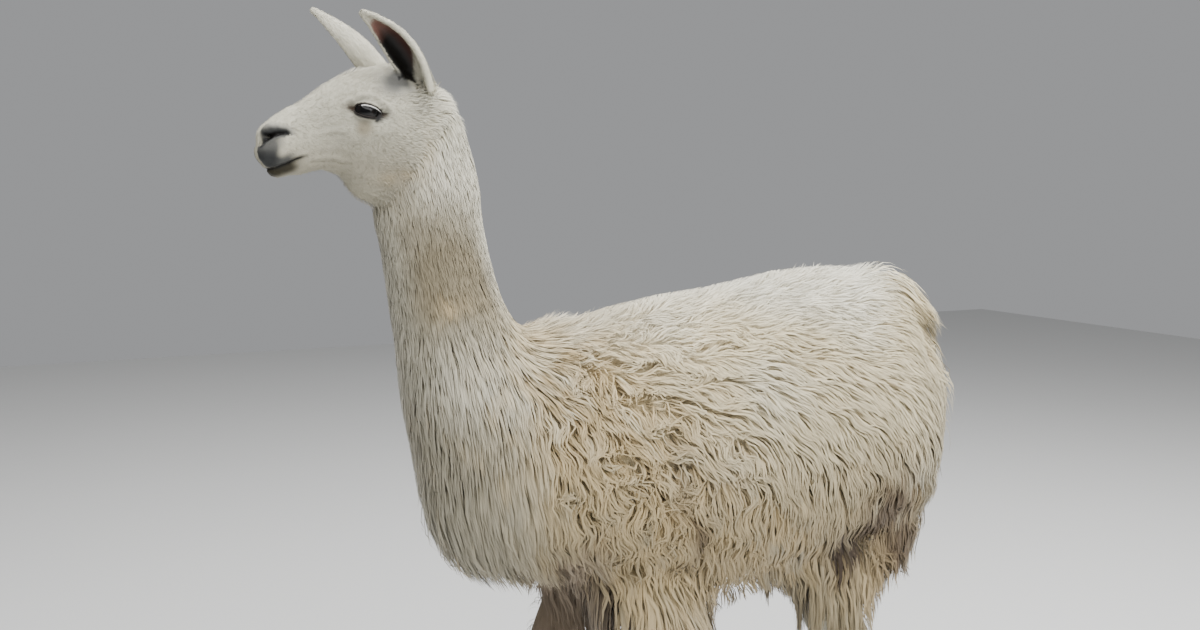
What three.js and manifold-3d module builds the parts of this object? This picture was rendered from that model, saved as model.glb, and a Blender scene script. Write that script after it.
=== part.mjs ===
// A standing llama in full coat, life size, in millimetres.
// +Z is up, the head faces -Y and the animal's left side is +X. The soles rest on z = 0.
// "Forward" distances are measured from the middle of the barrel towards the head, so y = -forward.
// Every solid reaches out to the tips of the hair.
import * as THREE from "three";
import { mergeVertices } from "three/addons/utils/BufferGeometryUtils.js";
import Module from "manifold-3d";

const wasm = await Module();
wasm.setup();

// ---- Driving dimensions ----
const GAP = 0.35; // between neighbouring pieces
const WITHERS = 1150; // height of the coat over the shoulders
const CROUP = 1212; // height of the coat over the hips
const SKIRT = 590; // height of the lowest belly hair
const BARREL = 250; // half the width of the barrel, with its coat
const RUMP_BACK = -525; // the hindmost hair
const CHEST_FRONT = 545; // the foremost chest hair
const EYE = { forward: 634, height: 1482, side: 51, radius: 21 };
const LID = 2.6; // thickness of the lids over the eyeball
const EAR = {
  spin: 0.85, // radians from facing ahead to facing outward
  radii: [18, 22, 25.5, 25.5, 21, 13.5, 5],
  thick: 7,
  left: { base: [50, 538, 1513], reach: [50, 115, 117], bow: 22 }, // side, forward and up
  right: { base: [48, 558, 1513], reach: [46, 126, 140], bow: 7 },
};
const SHOULDER = 165; // forward place of both shoulders
const HIP = -330;
const FORELEGS = { left: { forward: 122, side: 100 }, right: { forward: 290, side: -100 } };
const HINDLEGS = { left: { forward: -268, side: 112 }, right: { forward: -350, side: -112 } };
const MOUTH = { front: [800, 1394], corner: [722, 1414] }; // forward and height of the slit's ends
const SLACK = 0.25; // how far dropping a needless corner may move a surface
const FAR = 3000; // larger than the animal, for cutting bodies

// ---- Solids from geometries ----
function solidOf(geometry) {
  const bare = geometry.clone();
  bare.deleteAttribute("normal");
  bare.deleteAttribute("uv");
  const merged = mergeVertices(bare, 1e-3);
  return new wasm.Manifold(
    new wasm.Mesh({
      numProp: 3,
      vertProperties: new Float32Array(merged.attributes.position.array),
      triVerts: new Uint32Array(merged.index.array),
    }),
  );
}

function geometryOf(solid) {
  const { vertProperties, triVerts } = solid.getMesh();
  const geometry = new THREE.BufferGeometry()
    .setAttribute("position", new THREE.BufferAttribute(new Float32Array(vertProperties), 3))
    .setIndex(new THREE.BufferAttribute(new Uint32Array(triVerts), 1));
  geometry.computeVertexNormals();
  return geometry;
}

const joined = (solids) => solids.reduce((all, one) => all.add(one));

// ---- Lofts ----
// The Catmull-Rom value at t, from 0 to values.length - 1, through the values.
function smooth(values, t) {
  const i = Math.min(Math.floor(t), values.length - 2);
  const f = t - i;
  const a = values[Math.max(i - 1, 0)];
  const b = values[i];
  const c = values[i + 1];
  const d = values[Math.min(i + 2, values.length - 1)];
  return b + 0.5 * f * (c - a + f * (2 * a - 5 * b + 4 * c - d + f * (3 * (b - c) + d - a)));
}

// One point of a section: a superellipse with its own reach above and below its centre.
// pear widens it below the centre where positive, and above it where negative.
function sectionPoint(angle, { up, down, wide, square, pear }) {
  const power = 2 / square;
  const across = Math.sign(Math.cos(angle)) * Math.abs(Math.cos(angle)) ** power;
  const rise = Math.sign(Math.sin(angle)) * Math.abs(Math.sin(angle)) ** power;
  return [across * wide * (1 - pear * rise), rise * (rise > 0 ? up : down)];
}

// A closed tube through stations. Each station has forward and height of its centre, side for
// its sideways place, up and down for its reach to the dorsal and ventral side, and wide for half
// its width. The dorsal side is the one towards which turn points the tangent's normal.
// The ends are domes of the given depths. grow adds to every reach.
function loft(stations, { rings, segments, domes = [20, 20], turn = 1, grow = 0 }) {
  const defaults = { side: 0, square: 2.1, pear: 0 };
  const rows = stations.map((s) => ({ ...defaults, ...s }));
  const at = (key, t) => smooth(rows.map((row) => row[key]), t);
  const last = rows.length - 1;
  const centre = (t) => new THREE.Vector3(at("side", t), -at("forward", t), at("height", t));
  const places = [];
  const DOME_RINGS = 2;
  const dome = (t, depth, sign) => {
    for (let k = 1; k <= DOME_RINGS; k++) {
      const angle = (k / (DOME_RINGS + 0.35)) * (Math.PI / 2);
      places.push({ t, shift: sign * depth * Math.sin(angle), scale: Math.cos(angle) });
    }
  };
  dome(0, domes[0] + grow, -1);
  places.reverse();
  for (let k = 0; k <= rings; k++) places.push({ t: (last * k) / rings, shift: 0, scale: 1 });
  dome(last, domes[1] + grow, 1);

  const STEP = 0.02;
  const points = [];
  const frame = ({ t, shift }) => {
    const tangent = centre(Math.min(t + STEP, last)).sub(centre(Math.max(t - STEP, 0)));
    tangent.setX(0).normalize();
    const dorsal = new THREE.Vector3(turn, 0, 0).cross(tangent);
    return { origin: centre(t).addScaledVector(tangent, shift), tangent, dorsal };
  };
  for (const place of places) {
    const { origin, dorsal } = frame(place);
    const section = {
      up: (at("up", place.t) + grow) * place.scale,
      down: (at("down", place.t) + grow) * place.scale,
      wide: (at("wide", place.t) + grow) * place.scale,
      square: at("square", place.t),
      pear: at("pear", place.t),
    };
    for (let j = 0; j < segments; j++) {
      const [across, rise] = sectionPoint((2 * Math.PI * j) / segments, section);
      points.push(origin.clone().addScaledVector(dorsal, rise).setX(origin.x + across));
    }
  }
  const poles = [
    [0, -domes[0] - grow],
    [last, domes[1] + grow],
  ].map(([t, shift]) => frame({ t, shift }).origin);
  return closedTube(points, segments, poles);
}

// A solid from rings of points and the two poles that close them.
function closedTube(points, segments, poles) {
  const rings = points.length / segments;
  const index = [];
  for (let i = 0; i < rings - 1; i++)
    for (let j = 0; j < segments; j++) {
      const k = (j + 1) % segments;
      const [a, b, c, d] = [i * segments + j, i * segments + k, (i + 1) * segments + k, (i + 1) * segments + j];
      index.push(a, b, c, a, c, d);
    }
  const first = points.length;
  const end = (rings - 1) * segments;
  for (let j = 0; j < segments; j++) {
    const k = (j + 1) % segments;
    index.push(first, k, j, first + 1, end + j, end + k);
  }
  const positions = [...points, ...poles].flatMap((p) => [p.x, p.y, p.z]);
  return facingOut(positions, index);
}

function facingOut(positions, index) {
  const geometry = new THREE.BufferGeometry()
    .setAttribute("position", new THREE.Float32BufferAttribute(positions, 3))
    .setIndex(index);
  const solid = solidOf(geometry);
  if (solid.volume() > 0) return solid;
  for (let i = 0; i < index.length; i += 3) [index[i], index[i + 1]] = [index[i + 1], index[i]];
  return solidOf(geometry.setIndex(index));
}

// ---- Simple bodies ----
// An ellipsoid at a forward distance, height and side, with its half sizes across, along and
// upright, pitched by an angle in the plane of symmetry.
function ellipsoid({ forward, height, side = 0 }, [across, along, upright], pitch = 0, detail = 10) {
  const geometry = new THREE.SphereGeometry(1, detail, Math.round(detail * 0.7));
  geometry.scale(across, along, upright).rotateX(pitch).translate(side, -forward, height);
  return solidOf(geometry);
}

// Everything on one side of a plane, given by a point of it and the way that the kept side lies.
function halfSpace([forward, height], [aheadPart, upPart], shift = 0) {
  const normal = new THREE.Vector3(0, -aheadPart, upPart).normalize();
  const geometry = new THREE.BoxGeometry(FAR, FAR, FAR).translate(0, 0, FAR / 2 + shift);
  geometry.applyQuaternion(new THREE.Quaternion().setFromUnitVectors(new THREE.Vector3(0, 0, 1), normal));
  geometry.translate(0, -forward, height);
  return solidOf(geometry);
}

// The two sides of a thin cut through a solid: the side that the direction points to, then the rest.
function parted(solid, point, direction) {
  const away = direction.map((d) => -d);
  return [
    solid.intersect(halfSpace(point, direction, GAP / 2)),
    solid.intersect(halfSpace(point, away, GAP / 2)),
  ];
}

// ---- Trunk, neck and head ----
// A station of the trunk from the height of its top and bottom. The widest line lies at a share
// of the way up.
function barrel(forward, top, bottom, wide, { share = 0.46, square = 2.3, pear = 0.06 } = {}) {
  const height = bottom + (top - bottom) * share;
  return { forward, height, up: top - height, down: height - bottom, wide, square, pear };
}

function makeTrunk() {
  return loft(
    [
      barrel(RUMP_BACK + 16, CROUP - 205, SKIRT + 225, 88, { pear: 0.14 }),
      barrel(RUMP_BACK + 54, CROUP - 98, SKIRT + 165, 158, { pear: 0.2 }),
      barrel(RUMP_BACK + 120, CROUP - 12, SKIRT + 88, 212, { pear: 0.14 }),
      barrel(-290, CROUP + 8, SKIRT + 22, BARREL - 8),
      barrel(-130, CROUP - 24, SKIRT, BARREL),
      barrel(40, WITHERS + 20, SKIRT, BARREL - 2),
      barrel(180, WITHERS, SKIRT + 10, BARREL - 15),
      barrel(300, WITHERS - 30, SKIRT + 46, BARREL - 36),
      barrel(400, WITHERS - 82, SKIRT + 54, BARREL - 62),
      barrel(CHEST_FRONT - 65, WITHERS - 150, SKIRT + 72, BARREL - 108),
      barrel(CHEST_FRONT - 22, WITHERS - 215, SKIRT + 124, BARREL - 166),
    ],
    { rings: 14, segments: 18, domes: [14, 20], turn: -1 },
  );
}

function makeNeck() {
  return loft(
    [
      { forward: 345, height: 800, up: 150, down: 186, wide: 165 },
      { forward: 398, height: 905, up: 148, down: 172, wide: 160 },
      { forward: 450, height: 1010, up: 126, down: 142, wide: 136 },
      { forward: 486, height: 1108, up: 100, down: 120, wide: 108 },
      { forward: 504, height: 1200, up: 94, down: 106, wide: 90 },
      { forward: 516, height: 1290, up: 93, down: 98, wide: 80 },
      { forward: 526, height: 1370, up: 90, down: 94, wide: 74 },
      { forward: 542, height: 1445, up: 88, down: 86, wide: 70 },
    ],
    { rings: 9, segments: 18, domes: [70, 60], turn: 1 },
  );
}

// A station of the head from the height of its top and bottom.
function skull(forward, top, bottom, wide, pear, square = 2.2) {
  const height = (top + bottom) / 2;
  return { forward, height, up: top - height, down: height - bottom, wide, square, pear };
}

function makeHead() {
  const skullShape = loft(
    [
      skull(492, 1529, 1372, 55, 0),
      skull(520, 1552, 1338, 63, -0.05),
      skull(560, 1564, 1322, 69, -0.12),
      skull(600, 1565, 1328, 70, -0.2),
      skull(632, 1557, 1346, 66, -0.3),
      skull(662, 1541, 1366, 55, -0.24),
      skull(690, 1518, 1381, 43, -0.06),
      skull(716, 1499, 1386, 36, 0.1),
      skull(742, 1485, 1379, 33, 0.16),
      skull(766, 1472, 1380, 31, 0.12),
      skull(783, 1459, 1387, 26, 0.06),
    ],
    { rings: 16, segments: 18, domes: [26, 13], turn: -1 },
  );
  const features = [-1, 1].flatMap((side) => [
    // brow ridge, lids, masseter, nostril wing and lobe of the split upper lip
    ellipsoid({ forward: 632, height: 1503, side: side * 50 }, [20, 34, 15], 0.3, 8),
    eyeball(side, LID),
    ellipsoid({ forward: 600, height: 1412, side: side * 31 }, [27, 56, 56], 0.2, 8),
    ellipsoid({ forward: 775, height: 1450, side: side * 14 }, [14, 20, 15], 0.5, 8),
    ellipsoid({ forward: 780, height: 1419, side: side * 13 }, [15, 19, 23], 0, 8),
  ]);
  const chin = ellipsoid({ forward: 765, height: 1391 }, [19, 24, 15], 0, 8);
  const openings = [-1, 1].flatMap((side) => [
    eyeball(side, GAP),
    ellipsoid({ ...EYE, side: side * 82 }, [26, 27, 10.5], -0.2, 10),
    ellipsoid({ forward: 786, height: 1441, side: side * 21 }, [8, 15, 4], -0.55, 8),
  ]);
  return joined([skullShape, ...features, chin]).subtract(joined(openings));
}

function eyeball(side, grow = 0) {
  const radius = EYE.radius + grow;
  return ellipsoid({ ...EYE, side: side * EYE.side }, [radius, radius, radius], 0, 12);
}

// ---- Ears ----
// A cupped ear: an open arc carried along a curve that bows back and points forward at its tip.
// The cup is turned outward by spin.
function makeEar(side, { base, reach, bow }) {
  const ARC_STEPS = 6;
  const RINGS = 7;
  const segments = 2 * (ARC_STEPS + 1);
  const { spin, thick } = EAR;
  const curve = new THREE.QuadraticBezierCurve3(
    new THREE.Vector3(0, 0, 0),
    new THREE.Vector3(0.35 * reach[0], -0.5 * reach[1] + bow * 0.9, 0.5 * reach[2] + bow * 0.9),
    new THREE.Vector3(reach[0], -reach[1], reach[2]),
  );
  const points = [];
  for (let i = 0; i <= RINGS; i++) {
    const t = i / RINGS;
    const along = curve.getTangent(t);
    const back = new THREE.Vector3(1, 0, 0).cross(along).multiplyScalar(-1).normalize();
    const out = along.clone().cross(back).multiplyScalar(-1).normalize();
    const radius = smooth(EAR.radii, t * (EAR.radii.length - 1));
    const open = THREE.MathUtils.lerp(2.2, 1.45, Math.min(1, t * 1.5)); // half the arc, radians
    for (let j = 0; j < segments; j++) {
      const outer = j <= ARC_STEPS;
      const step = outer ? j : segments - 1 - j;
      const angle = open * ((2 * step) / ARC_STEPS - 1) - spin;
      const far = outer ? radius : Math.max(radius - thick * (1 - 0.4 * t), 1);
      const point = curve.getPoint(t).addScaledVector(back, far * Math.cos(angle));
      points.push(point.addScaledVector(out, far * Math.sin(angle)));
    }
  }
  const index = [];
  for (let i = 0; i < RINGS; i++)
    for (let j = 0; j < segments; j++) {
      const k = (j + 1) % segments;
      const [a, b] = [i * segments + j, i * segments + k];
      index.push(a, b, b + segments, a, b + segments, a + segments);
    }
  const cap = (start, flip) => {
    for (let j = 0; j < ARC_STEPS; j++) {
      const quad = [j, j + 1, segments - 2 - j, segments - 1 - j].map((v) => start + v);
      if (flip) quad.reverse();
      index.push(quad[0], quad[1], quad[2], quad[0], quad[2], quad[3]);
    }
  };
  cap(0, true);
  cap(RINGS * segments, false);
  const positions = points.flatMap((p) => [side * (base[0] + p.x), p.y - base[1], base[2] + p.z]);
  return facingOut(positions, index);
}

// ---- Legs ----
// A station of a leg. ahead is measured from the leg's own line, which runs straight from the
// joint at its top to the place of the leg at a height of 430 and goes on upright below it.
function limb(joint, leg, height, ahead, up, down, wide, spread) {
  const share = THREE.MathUtils.clamp((760 - height) / (760 - 430), 0, 1);
  const forward = THREE.MathUtils.lerp(joint, leg.forward, share) + ahead;
  return { forward, height, up, down, wide, side: leg.side * spread };
}

function foreleg(leg, grow = 0) {
  const at = (...numbers) => limb(SHOULDER, leg, ...numbers);
  return loft(
    [
      at(740, 20, 92, 85, 60, 1.02),
      at(660, 10, 84, 82, 60, 1.03),
      at(585, 2, 72, 76, 57, 1),
      at(500, -2, 54, 58, 48, 0.96),
      at(430, 0, 42, 43, 41, 0.94),
      at(385, 3, 44, 40, 43, 0.93),
      at(335, -1, 35, 36, 36, FOOT_SPREAD),
      at(240, -3, 29, 31, 30, FOOT_SPREAD),
      at(160, -4, 31, 34, 32, FOOT_SPREAD),
      at(122, 0, 35, 38, 35, FOOT_SPREAD),
      at(84, 10, 32, 35, 33, FOOT_SPREAD),
      at(50, 18, 34, 38, 33, FOOT_SPREAD),
    ],
    { rings: 10, segments: 10, domes: [30, 18], turn: -1, grow },
  );
}

function hindleg(leg, grow = 0) {
  const at = (...numbers) => limb(HIP, leg, ...numbers);
  return loft(
    [
      at(850, 0, 140, 150, 86, 0.96),
      at(770, 8, 142, 150, 92, 0.98),
      at(690, 30, 112, 128, 82, 1),
      at(620, 32, 84, 76, 65, 1),
      at(555, 18, 60, 48, 50, 0.98),
      at(490, -6, 46, 44, 41, 0.95),
      at(430, -34, 42, 42, 38, 0.92),
      at(375, -42, 38, 42, 37, FOOT_SPREAD),
      at(260, -42, 30, 32, 31, FOOT_SPREAD),
      at(165, -40, 31, 33, 32, FOOT_SPREAD),
      at(122, -36, 35, 37, 35, FOOT_SPREAD),
      at(84, -26, 32, 35, 33, FOOT_SPREAD),
      at(50, -18, 34, 38, 33, FOOT_SPREAD),
    ],
    { rings: 11, segments: 10, domes: [30, 18], turn: -1, grow },
  );
}

const FOOT_SPREAD = 0.93; // how far out a foot stands, as a share of its leg's side
const TOE_SPREAD = 17; // from the middle of the foot to the middle of each toe
const FOOT = [19, 56, 40]; // half of one toe's width, length and height

// A two-toed foot with a flat sole. forward is the middle of the foot.
function makeFoot({ forward, side }) {
  const toes = [-1, 1].map((inner) =>
    ellipsoid({ forward: forward + 4, height: 18, side: side + inner * TOE_SPREAD }, FOOT, 0, 7),
  );
  const heel = ellipsoid({ forward: forward - 24, height: 22, side }, [33, 33, 42], 0, 6);
  return joined([...toes, heel]);
}

// A claw on one toe, curving down to the floor in front.
function toenail({ forward, side }, inner, grow = 0) {
  return ellipsoid(
    { forward: forward + 56, height: 15, side: side + inner * TOE_SPREAD },
    [8.5 + grow, 18 + grow, 11 + grow],
    0.42,
    7,
  ).intersect(halfSpace([0, GAP], [0, 1]));
}

// ---- Tail ----
function makeTail(grow = 0) {
  return loft(
    [
      { forward: -390, height: 1168, up: 46, down: 40, wide: 56 },
      { forward: -444, height: 1156, up: 48, down: 44, wide: 62 },
      { forward: -484, height: 1112, up: 44, down: 44, wide: 62 },
      { forward: -508, height: 1050, up: 38, down: 40, wide: 58 },
      { forward: -526, height: 985, up: 32, down: 34, wide: 50 },
      { forward: -534, height: 915, up: 20, down: 22, wide: 34 },
    ],
    { rings: 7, segments: 12, domes: [20, 26], turn: 1, grow },
  );
}

// ---- Assembly ----
const NECK_CUT = { point: [380, 1010], direction: [0.66, 0.75] }; // up and ahead is the neck
const HEAD_CUT = { point: [560, 1400], direction: [0.8, 0.6] }; // up and ahead is the head
const MUZZLE_CUT = { point: [754, 1440], direction: [1, 0.25] };
const KNEE = 385;
const HOCK = 425;
const FETLOCK = 104;

const COLOURS = {
  wool: "#d9d0bf",
  face: "#dcd8cf",
  muzzle: "#6f6d6c",
  ear: "#d8cfc2",
  leg: "#cfc4b2",
  nail: "#3a3430",
  eye: "#120e0c",
};

const llama = new THREE.Group();

function addMesh(name, solid, colour, roughness = 0.9) {
  const material = new THREE.MeshStandardMaterial({ color: colour, roughness, metalness: 0 });
  const mesh = new THREE.Mesh(geometryOf(solid.simplify(SLACK)), material);
  mesh.name = name;
  llama.add(mesh);
}

const legPlaces = Object.entries({
  front_left: { ...FORELEGS.left, make: foreleg, bend: KNEE, footShift: 30 },
  front_right: { ...FORELEGS.right, make: foreleg, bend: KNEE, footShift: 30 },
  hind_left: { ...HINDLEGS.left, make: hindleg, bend: HOCK, footShift: -8 },
  hind_right: { ...HINDLEGS.right, make: hindleg, bend: HOCK, footShift: -8 },
});

function addTorso() {
  const torso = joined([makeTrunk(), makeNeck(), makeHead()]);
  const [neckSide, trunkSide] = parted(torso, NECK_CUT.point, NECK_CUT.direction);
  const [headSide, neck] = parted(neckSide, HEAD_CUT.point, HEAD_CUT.direction);
  const [muzzleSide, upperHead] = parted(headSide, MUZZLE_CUT.point, MUZZLE_CUT.direction);
  const slit = [MOUTH.corner[0] - MOUTH.front[0], MOUTH.corner[1] - MOUTH.front[1]];
  const above = [slit[1], -slit[0]]; // at right angles to the slit, upwards
  const [head] = parted(upperHead, MOUTH.front, above);
  const [muzzle] = parted(muzzleSide, MOUTH.front, above);
  const [, jaw] = parted(headSide, MOUTH.front, above);
  addMesh("head", head, COLOURS.face);
  addMesh("lower_jaw", jaw, COLOURS.face);
  addMesh("muzzle", muzzle, COLOURS.muzzle, 0.6);
  addMesh("neck", neck, COLOURS.wool);
  const pegs = legPlaces.map(([, leg]) => leg.make(leg, GAP));
  addMesh("trunk", trunkSide.subtract(joined(pegs)).subtract(makeTail(GAP)), COLOURS.wool);
  const clearance = torso.translate(0, 0, GAP);
  addMesh("ear_left", makeEar(1, EAR.left).subtract(clearance), COLOURS.ear);
  addMesh("ear_right", makeEar(-1, EAR.right).subtract(clearance), COLOURS.ear);
}

function addLeg(name, leg) {
  const ankle = { forward: leg.forward + leg.footShift, side: leg.side * FOOT_SPREAD };
  const nails = [-1, 1].map((inner) => toenail(ankle, inner, GAP));
  const floor = halfSpace([0, 0], [0, 1]);
  const whole = leg.make(leg).add(makeFoot(ankle)).intersect(floor).subtract(joined(nails));
  const [upper, lower] = parted(whole, [0, leg.bend], [0, 1]);
  const [shank, foot] = parted(lower, [0, FETLOCK], [0, 1]);
  addMesh(`leg_${name}_upper`, upper, COLOURS.leg);
  addMesh(`leg_${name}_lower`, shank, COLOURS.leg);
  addMesh(`foot_${name}`, foot, COLOURS.leg);
  for (const [label, inner] of [["inner", -Math.sign(leg.side)], ["outer", Math.sign(leg.side)]])
    addMesh(`toenail_${name}_${label}`, toenail(ankle, inner), COLOURS.nail, 0.5);
}

addTorso();
addMesh("eye_left", eyeball(1), COLOURS.eye, 0.15);
addMesh("eye_right", eyeball(-1), COLOURS.eye, 0.15);
addMesh("tail", makeTail(), COLOURS.wool);
legPlaces.forEach(([name, leg]) => addLeg(name, leg));

// The origin is on the floor, under the middle of the animal's bounding box.
const bounds = new THREE.Box3().setFromObject(llama, true);
const middle = bounds.getCenter(new THREE.Vector3());
for (const mesh of llama.children) mesh.geometry.translate(-middle.x, -middle.y, 0);

export default llama;
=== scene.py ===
"""A standing llama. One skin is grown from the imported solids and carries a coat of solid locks;
the eyes and claws are separate pieces. Lengths are in metres. "Forward" is measured towards the
head from the middle of the barrel, as in the CAD."""
import math
from types import SimpleNamespace

import bmesh
import bpy
import numpy as np
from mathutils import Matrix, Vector
from mathutils.bvhtree import BVHTree
from mathutils.kdtree import KDTree


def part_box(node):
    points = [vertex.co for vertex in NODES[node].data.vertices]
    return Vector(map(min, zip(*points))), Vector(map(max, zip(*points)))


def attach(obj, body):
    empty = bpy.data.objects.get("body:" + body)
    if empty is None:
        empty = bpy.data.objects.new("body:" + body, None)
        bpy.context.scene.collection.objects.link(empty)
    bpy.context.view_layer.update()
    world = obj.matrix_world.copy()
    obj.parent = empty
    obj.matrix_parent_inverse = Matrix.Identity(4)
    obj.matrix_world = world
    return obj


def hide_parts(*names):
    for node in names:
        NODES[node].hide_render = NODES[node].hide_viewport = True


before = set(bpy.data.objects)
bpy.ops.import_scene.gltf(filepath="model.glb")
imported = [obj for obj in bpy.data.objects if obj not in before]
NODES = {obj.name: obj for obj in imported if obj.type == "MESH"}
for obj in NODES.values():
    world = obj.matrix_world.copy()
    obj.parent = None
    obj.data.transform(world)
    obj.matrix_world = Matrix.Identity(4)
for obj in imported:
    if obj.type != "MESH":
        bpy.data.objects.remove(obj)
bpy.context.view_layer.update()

# ---- Places repeated from the CAD ----
EYE_FORWARD = 0.634
EYE_RADIUS = 0.021
EARS = {  # side, base and reach as side, forward and height, and bow
    "ear_left": (1, (0.050, 0.538, 1.513), (0.050, 0.115, 0.117), 0.022),
    "ear_right": (-1, (0.048, 0.558, 1.513), (0.046, 0.126, 0.140), 0.007),
}
EAR_SPIN = 0.85

# ---- Build settings ----
BODY_VOXEL = 0.0087
HEAD_VOXEL = 0.0026
CLAW_VOXEL = 0.0014
SWELL_CLAW = 0.0006  # makes up for what smoothing takes off a claw
SWELL = 0.0007  # how far the solids are swollen so that the gaps between them close
EYE_MARGIN = 0.0022  # how much larger than an eyeball the ball under its lids is
LIMIT = 190_000  # triangles in one piece of the coat
COAT_SEED, CURL_SEED, LASH_SEED = 100, 40, 60

# ---- Camera and light ----
CAMERA_AT = (2.0887, 1.1957, 1.39)  # side, forward and height
CAMERA_DOWN, CAMERA_TURN = 6.364, 64.5  # degrees below level, and round from straight to the rear
CAMERA_LENS, CAMERA_SENSOR = 39, 36  # millimetres
SKY_COLOUR, SKY_STRENGTH = (0.78, 0.79, 0.81, 1), 0.43
LIGHTS = (  # name, size, power, place and aim
    ("sky", 7.0, 610, (0.9, 0.4, 3.5), (0, 0.1, 0.9)),
    ("side", 2.5, 50, (3.2, 2.4, 2.2), (0, 0.2, 1.0)),
)
FLOOR_HALF = 8.0


# ---- Places and fields ----
def centre_of(node):
    """The middle of a node's box."""
    low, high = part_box(node)
    return (np.array(low) + np.array(high)) / 2


ZERO = centre_of("eye_left")[1] + EYE_FORWARD  # the y of forward 0


def place(side, forward, height):
    """A point of the frame from its side, forward distance and height."""
    return np.array([side, ZERO - forward, height])


def heading(side, forward, height):
    """A direction, or a difference between two places."""
    return np.array([side, -forward, height])


def ramp(value, low, high):
    """0 below low, 1 above high, smooth between."""
    t = np.clip((value - low) / (high - low), 0, 1)
    return t * t * (3 - 2 * t)


def unit(v):
    """The rows of v made 1 long."""
    return v / np.maximum(np.linalg.norm(v, axis=-1, keepdims=True), 1e-9)


def mix(a, b, t):
    """The number or numbers a where t is 0 and b where it is 1."""
    return a + (b - a) * t


def blend(a, b, t):
    """The row or rows a where t is 0 and b where it is 1."""
    return a + (np.asarray(b) - a) * np.asarray(t)[:, None]


def bell(x):
    """1 where x is 0, falling smoothly to 0 on both sides."""
    return np.exp(-x * x)


def spot(forward, height, f, h, rf, rh):
    """1 at the place f, h of the side view, fading to 0 past its two radii."""
    return bell(np.hypot((forward - f) / rf, (height - h) / rh))


def spots(rows, forward, height):
    """The sum of the rows' amounts, each spread round its own place."""
    return sum(amount * spot(forward, height, *where) for amount, *where in rows)


def wander(points, size, seed, waves=7):
    """A smooth field of vectors about 1 long that turns within about size metres."""
    dice = np.random.default_rng(seed)
    field = np.zeros_like(points)
    for _ in range(waves):
        wave = unit(dice.normal(size=3)) * dice.uniform(0.6, 1.5) * 2 * math.pi / size
        phase = dice.uniform(0, 2 * math.pi, 3)
        field += np.sin(points @ wave[:, None] + phase) * unit(dice.normal(size=3)) * 1.8
    return field / math.sqrt(waves)


# ---- Meshes as arrays ----
def arrays_of(mesh):
    """The points and triangles of a mesh."""
    points = np.empty(len(mesh.vertices) * 3)
    mesh.vertices.foreach_get("co", points)
    mesh.calc_loop_triangles()
    triangles = np.empty(len(mesh.loop_triangles) * 3, dtype=np.int64)
    mesh.loop_triangles.foreach_get("vertices", triangles)
    return points.reshape(-1, 3), triangles.reshape(-1, 3)


def welded(points, triangles):
    """The same surface with its doubled points joined."""
    keys, first, back = np.unique(
        np.round(points, 6), axis=0, return_index=True, return_inverse=True
    )
    return points[first], back.ravel()[triangles]


def sums_at(index, rows, count):
    """For each of count points the sum of the rows that the index gives to it."""
    sums = [np.bincount(index, weights=rows[:, axis], minlength=count) for axis in range(3)]
    return np.stack(sums, axis=1)


def normals_of(points, triangles):
    """Each point's normal, from the faces round it."""
    a, b, c = (points[triangles[:, k]] for k in range(3))
    face = np.cross(b - a, c - a)
    return unit(sum(sums_at(triangles[:, k], face, len(points)) for k in range(3)))


def edges_of(triangles):
    """Each edge once, as a row of two points."""
    pairs = np.vstack([triangles[:, [0, 1]], triangles[:, [1, 2]], triangles[:, [2, 0]]])
    return np.unique(np.sort(pairs, axis=1), axis=0)


def relaxed(points, edges, weight, rounds):
    """The points drawn towards their neighbours' mean, each by its own weight."""
    ends, others = np.vstack([edges, edges[:, ::-1]]).T
    count = np.maximum(np.bincount(ends, minlength=len(points)), 1)[:, None]
    for _ in range(rounds):
        mean = sums_at(ends, points[others], len(points)) / count
        points = points + (mean - points) * weight[:, None]
    return points


def stacked(surfaces):
    """Several surfaces as one."""
    starts = np.cumsum([0] + [len(points) for points, _ in surfaces])
    triangles = [part + start for (_, part), start in zip(surfaces, starts)]
    return np.vstack([points for points, _ in surfaces]), np.vstack(triangles)


def linked(name, data):
    """A new object of the scene."""
    obj = bpy.data.objects.new(name, data)
    bpy.context.scene.collection.objects.link(obj)
    return obj


def new_object(name, points, faces):
    """An object of the scene with a smooth mesh, all of whose faces have as many corners."""
    mesh = bpy.data.meshes.new(name)
    faces = np.ascontiguousarray(faces, dtype=np.int32)
    corners = faces.shape[1]
    mesh.vertices.add(len(points))
    mesh.vertices.foreach_set("co", np.asarray(points, dtype=np.float32).ravel())
    mesh.loops.add(faces.size)
    mesh.loops.foreach_set("vertex_index", faces.ravel())
    mesh.polygons.add(len(faces))
    mesh.polygons.foreach_set("loop_start", np.arange(0, faces.size, corners, dtype=np.int32))
    mesh.polygons.foreach_set("use_smooth", np.ones(len(faces), dtype=bool))
    mesh.update(calc_edges=True)
    return linked(name, mesh)


def remeshed(points, triangles, voxel):
    """One closed surface round the solids, as a mesh with cells of the voxel's size."""
    obj = new_object("solids", points, triangles)
    modifier = obj.modifiers.new("remesh", "REMESH")
    modifier.mode = "VOXEL"
    modifier.voxel_size = voxel
    finished = obj.evaluated_get(bpy.context.evaluated_depsgraph_get())
    mesh = bpy.data.meshes.new_from_object(finished)
    bpy.data.objects.remove(obj)
    return mesh


# ---- The skin ----
FLESH = [name for name in NODES if not name.startswith(("eye", "toenail"))]
THROAT_CUT = (place(0, 0.520, 1.315), unit(np.array([0, -0.30, 0.95])))  # parts the two meshes


def ball(radius, subdivisions):
    """The points and triangles of a ball round 0."""
    bm = bmesh.new()
    bmesh.ops.create_icosphere(bm, subdivisions=subdivisions, radius=radius)
    mesh = bpy.data.meshes.new("ball")
    bm.to_mesh(mesh)
    bm.free()
    return arrays_of(mesh)


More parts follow.
